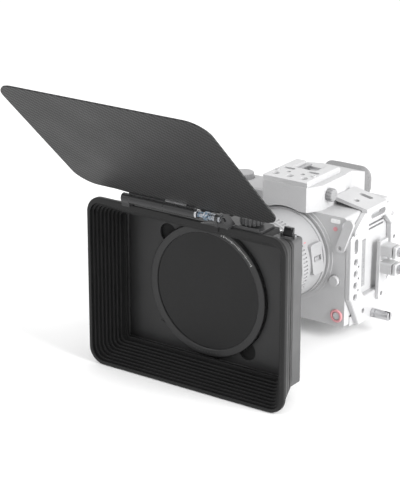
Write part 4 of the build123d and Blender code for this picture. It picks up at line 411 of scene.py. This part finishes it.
def add_block(mesh, centre, across, along, out, size):
    """A small block of the given sizes along three directions."""
    corners = []
    for i in (-0.5, 0.5):
        for j in (-0.5, 0.5):
            for k in (-0.5, 0.5):
                corner = centre + across * size[0] * i + along * size[1] * j + out * size[2] * k
                corners.append(mesh.verts.new(corner))
    for a, b, c, d in ((0, 1, 3, 2), (4, 6, 7, 5), (0, 4, 5, 1), (2, 3, 7, 6), (0, 2, 6, 4), (1, 5, 7, 3)):
        mesh.faces.new([corners[i] for i in (a, b, c, d)])


def ring_point(angle, radius, y):
    return Vector((radius * cos(angle), y, LENS_Z + radius * sin(angle)))


def face_ticks(name, y, radius, marks, material, body, thick=0.06 * MM):
    """Radial ticks printed on the front of a ring: marks are (angle in degrees, length, width)."""
    mesh = bmesh.new()
    for degrees_at, length, width in marks:
        a = radians(degrees_at)
        out = Vector((cos(a), 0, sin(a)))
        side = Vector((-sin(a), 0, cos(a)))
        add_block(mesh, ring_point(a, radius, y), side, out, Vector((0, 1, 0)), (width, length, thick))
    return piece(name, mesh, material, body)


def barrel_ticks(name, y, radius, marks, material, body, thick=0.06 * MM):
    """Ticks printed round a barrel, along the lens axis: marks are (angle, width, length, shift along Y)."""
    mesh = bmesh.new()
    for degrees_at, width, length, shift in marks:
        a = radians(degrees_at)
        out = Vector((cos(a), 0, sin(a)))
        side = Vector((-sin(a), 0, cos(a)))
        place = ring_point(a, radius, y + shift)
        add_block(mesh, place, side, Vector((0, 1, 0)), out, (width, length, thick))
    return piece(name, mesh, material, body)


def number(name, text, place, right, up, size, material, body, slot_name):
    """A printed number: its face looks along right x up."""
    curve = bpy.data.curves.new(name, "FONT")
    curve.body = text
    curve.size = size
    curve.align_x = "CENTER"
    curve.align_y = "CENTER"
    curve.extrude = 0.03 * MM
    made = bpy.data.objects.new(name, curve)
    bpy.context.scene.collection.objects.link(made)
    bpy.context.view_layer.update()
    data = bpy.data.meshes.new_from_object(made.evaluated_get(bpy.context.evaluated_depsgraph_get()))
    bpy.data.objects.remove(made)
    normal = right.cross(up)
    turn = Matrix((right, up, normal)).transposed().to_4x4()
    data.transform(Matrix.Translation(place) @ turn)
    data.materials.clear()
    data.materials.append(material)
    obj = bpy.data.objects.new(name, data)
    bpy.context.scene.collection.objects.link(obj)
    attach(obj, body)
    return obj


ring_low, ring_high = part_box("filter_ring_front")
RING_FACE_Y = ring_low.y
RING_OUT = (ring_high.x - ring_low.x) / 2
SCALE_R = RING_OUT - 3.1 * MM
SCALE_START = 72                # degrees from +X at the first tick
TICK_STEP = 1.5                 # degrees
TICKS_A_STOP = 6
STOPS = 4
NUMBER_START = 92.5             # degrees from +X at the first number
NUMBER_STEP = 6

stop_marks = []
for step in range(STOPS * TICKS_A_STOP + 1):
    long_tick = step % TICKS_A_STOP == 0
    tick_length = (2.2 if long_tick else 1.3) * MM
    tick_width = (0.5 if long_tick else 0.34) * MM
    stop_marks.append((SCALE_START - step * TICK_STEP, tick_length, tick_width))
face_ticks("filter_scale_ticks", RING_FACE_Y, SCALE_R, stop_marks, INK, "vnd_ring")
for step in range(STOPS):
    a = radians(NUMBER_START - NUMBER_STEP * step)
    number(f"filter_scale_number_{step}", str(step + 2), ring_point(a, SCALE_R, RING_FACE_Y),
           Vector((sin(a), 0, -cos(a))), Vector((cos(a), 0, sin(a))), 3.2 * MM, INK, "vnd_ring", "ring_black")
lower_marks = [(-104 + 3.0 * step, 1.2 * MM, 0.35 * MM) for step in range(9)]
face_ticks("filter_lower_ticks", RING_FACE_Y, SCALE_R, lower_marks, DIM_INK, "vnd_ring")

# lens scales: an index line on the fixed barrel and ticks on the zoom ring
ZOOM_REAR_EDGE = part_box("zoom_ring")[1].y
REAR_FRONT_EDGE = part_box("lens_rear_barrel")[0].y
BARREL_R = 38.4 * MM
ZOOM_R = 39.0 * MM
index_mark = [(32.0, 0.9 * MM, 3.0 * MM, 0.0)]
barrel_ticks("lens_index_line", REAR_FRONT_EDGE + 2.2 * MM, BARREL_R, index_mark, RED_INK,
             "camera")
scale = [(10.0 + 5.5 * i, 0.5 * MM, (2.6 if i % 3 == 0 else 1.6) * MM, 0.0) for i in range(11)]
barrel_ticks("zoom_scale", ZOOM_REAR_EDGE - 1.1 * MM, ZOOM_R, scale, PALE_INK, "zoom_ring")

# ================================================================ camera, floor and light
def look_camera():
    """The camera at the viewing angle: long lens, no roll, from the front and port side, looking down."""
    data = bpy.data.cameras.new("camera")
    data.lens = 139.0
    data.sensor_width = 36.0
    data.clip_start = 0.05
    data.clip_end = 30
    right = Vector((0.8164, 0.5775, 0.0)).normalized()
    back = Vector((0.5427, -0.7672, 0.3420)).normalized()
    up = back.cross(right)
    camera = bpy.data.objects.new("camera", data)
    bpy.context.scene.collection.objects.link(camera)
    turn = Matrix((right, up, back)).transposed().to_4x4()
    camera.matrix_world = Matrix.Translation((0.8306, -1.3358, 0.6217)) @ turn
    bpy.context.scene.camera = camera


def pale_floor():
    """One plain pale sheet just under the lowest point of the CAD."""
    low = CAD_BOX[0][2] - 0.5 * MM
    mesh = bmesh.new()
    half = 6.0
    outline = ((-half, -half), (half, -half), (half, half), (-half, half))
    mesh.faces.new([mesh.verts.new((x, y, low)) for x, y in outline])
    data = bpy.data.meshes.new("floor")
    mesh.to_mesh(data)
    mesh.free()
    floor = bpy.data.objects.new("floor", data)
    bpy.context.scene.collection.objects.link(floor)
    s = Surface("floor_paper", specular=0.1)
    clouds = s.noise(0.8, detail=2)
    pale = s.mix(s.spread(clouds, 0, 1), (0.90, 0.90, 0.90), (0.93, 0.93, 0.93))
    data.materials.append(s.finish(pale, 0.9))


def area_light(name, place, target, size, power, tone=(1, 1, 1)):
    data = bpy.data.lights.new(name, "AREA")
    data.shape = "RECTANGLE"
    data.size, data.size_y = size
    data.energy = power
    data.color = tone
    light = bpy.data.objects.new(name, data)
    bpy.context.scene.collection.objects.link(light)
    aim = (Vector(target) - Vector(place)).to_track_quat("-Z", "Y")
    light.matrix_world = Matrix.Translation(place) @ aim.to_matrix().to_4x4()


def studio():
    world = bpy.data.worlds.new("studio")
    world.use_nodes = True
    world.node_tree.nodes["Background"].inputs["Color"].default_value = (1, 1, 1, 1)
    world.node_tree.nodes["Background"].inputs["Strength"].default_value = 1.0
    bpy.context.scene.world = world
    area_light("key", (-1.2, -1.6, 1.9), (0, -0.1, 0.08), (1.4, 1.0), 16)
    area_light("side", (1.8, -0.2, 0.8), (0, -0.1, 0.06), (0.8, 1.4), 48)
    view = bpy.context.scene.view_settings
    view.view_transform = "Standard"
    view.look = "None"


look_camera()
pale_floor()
studio()
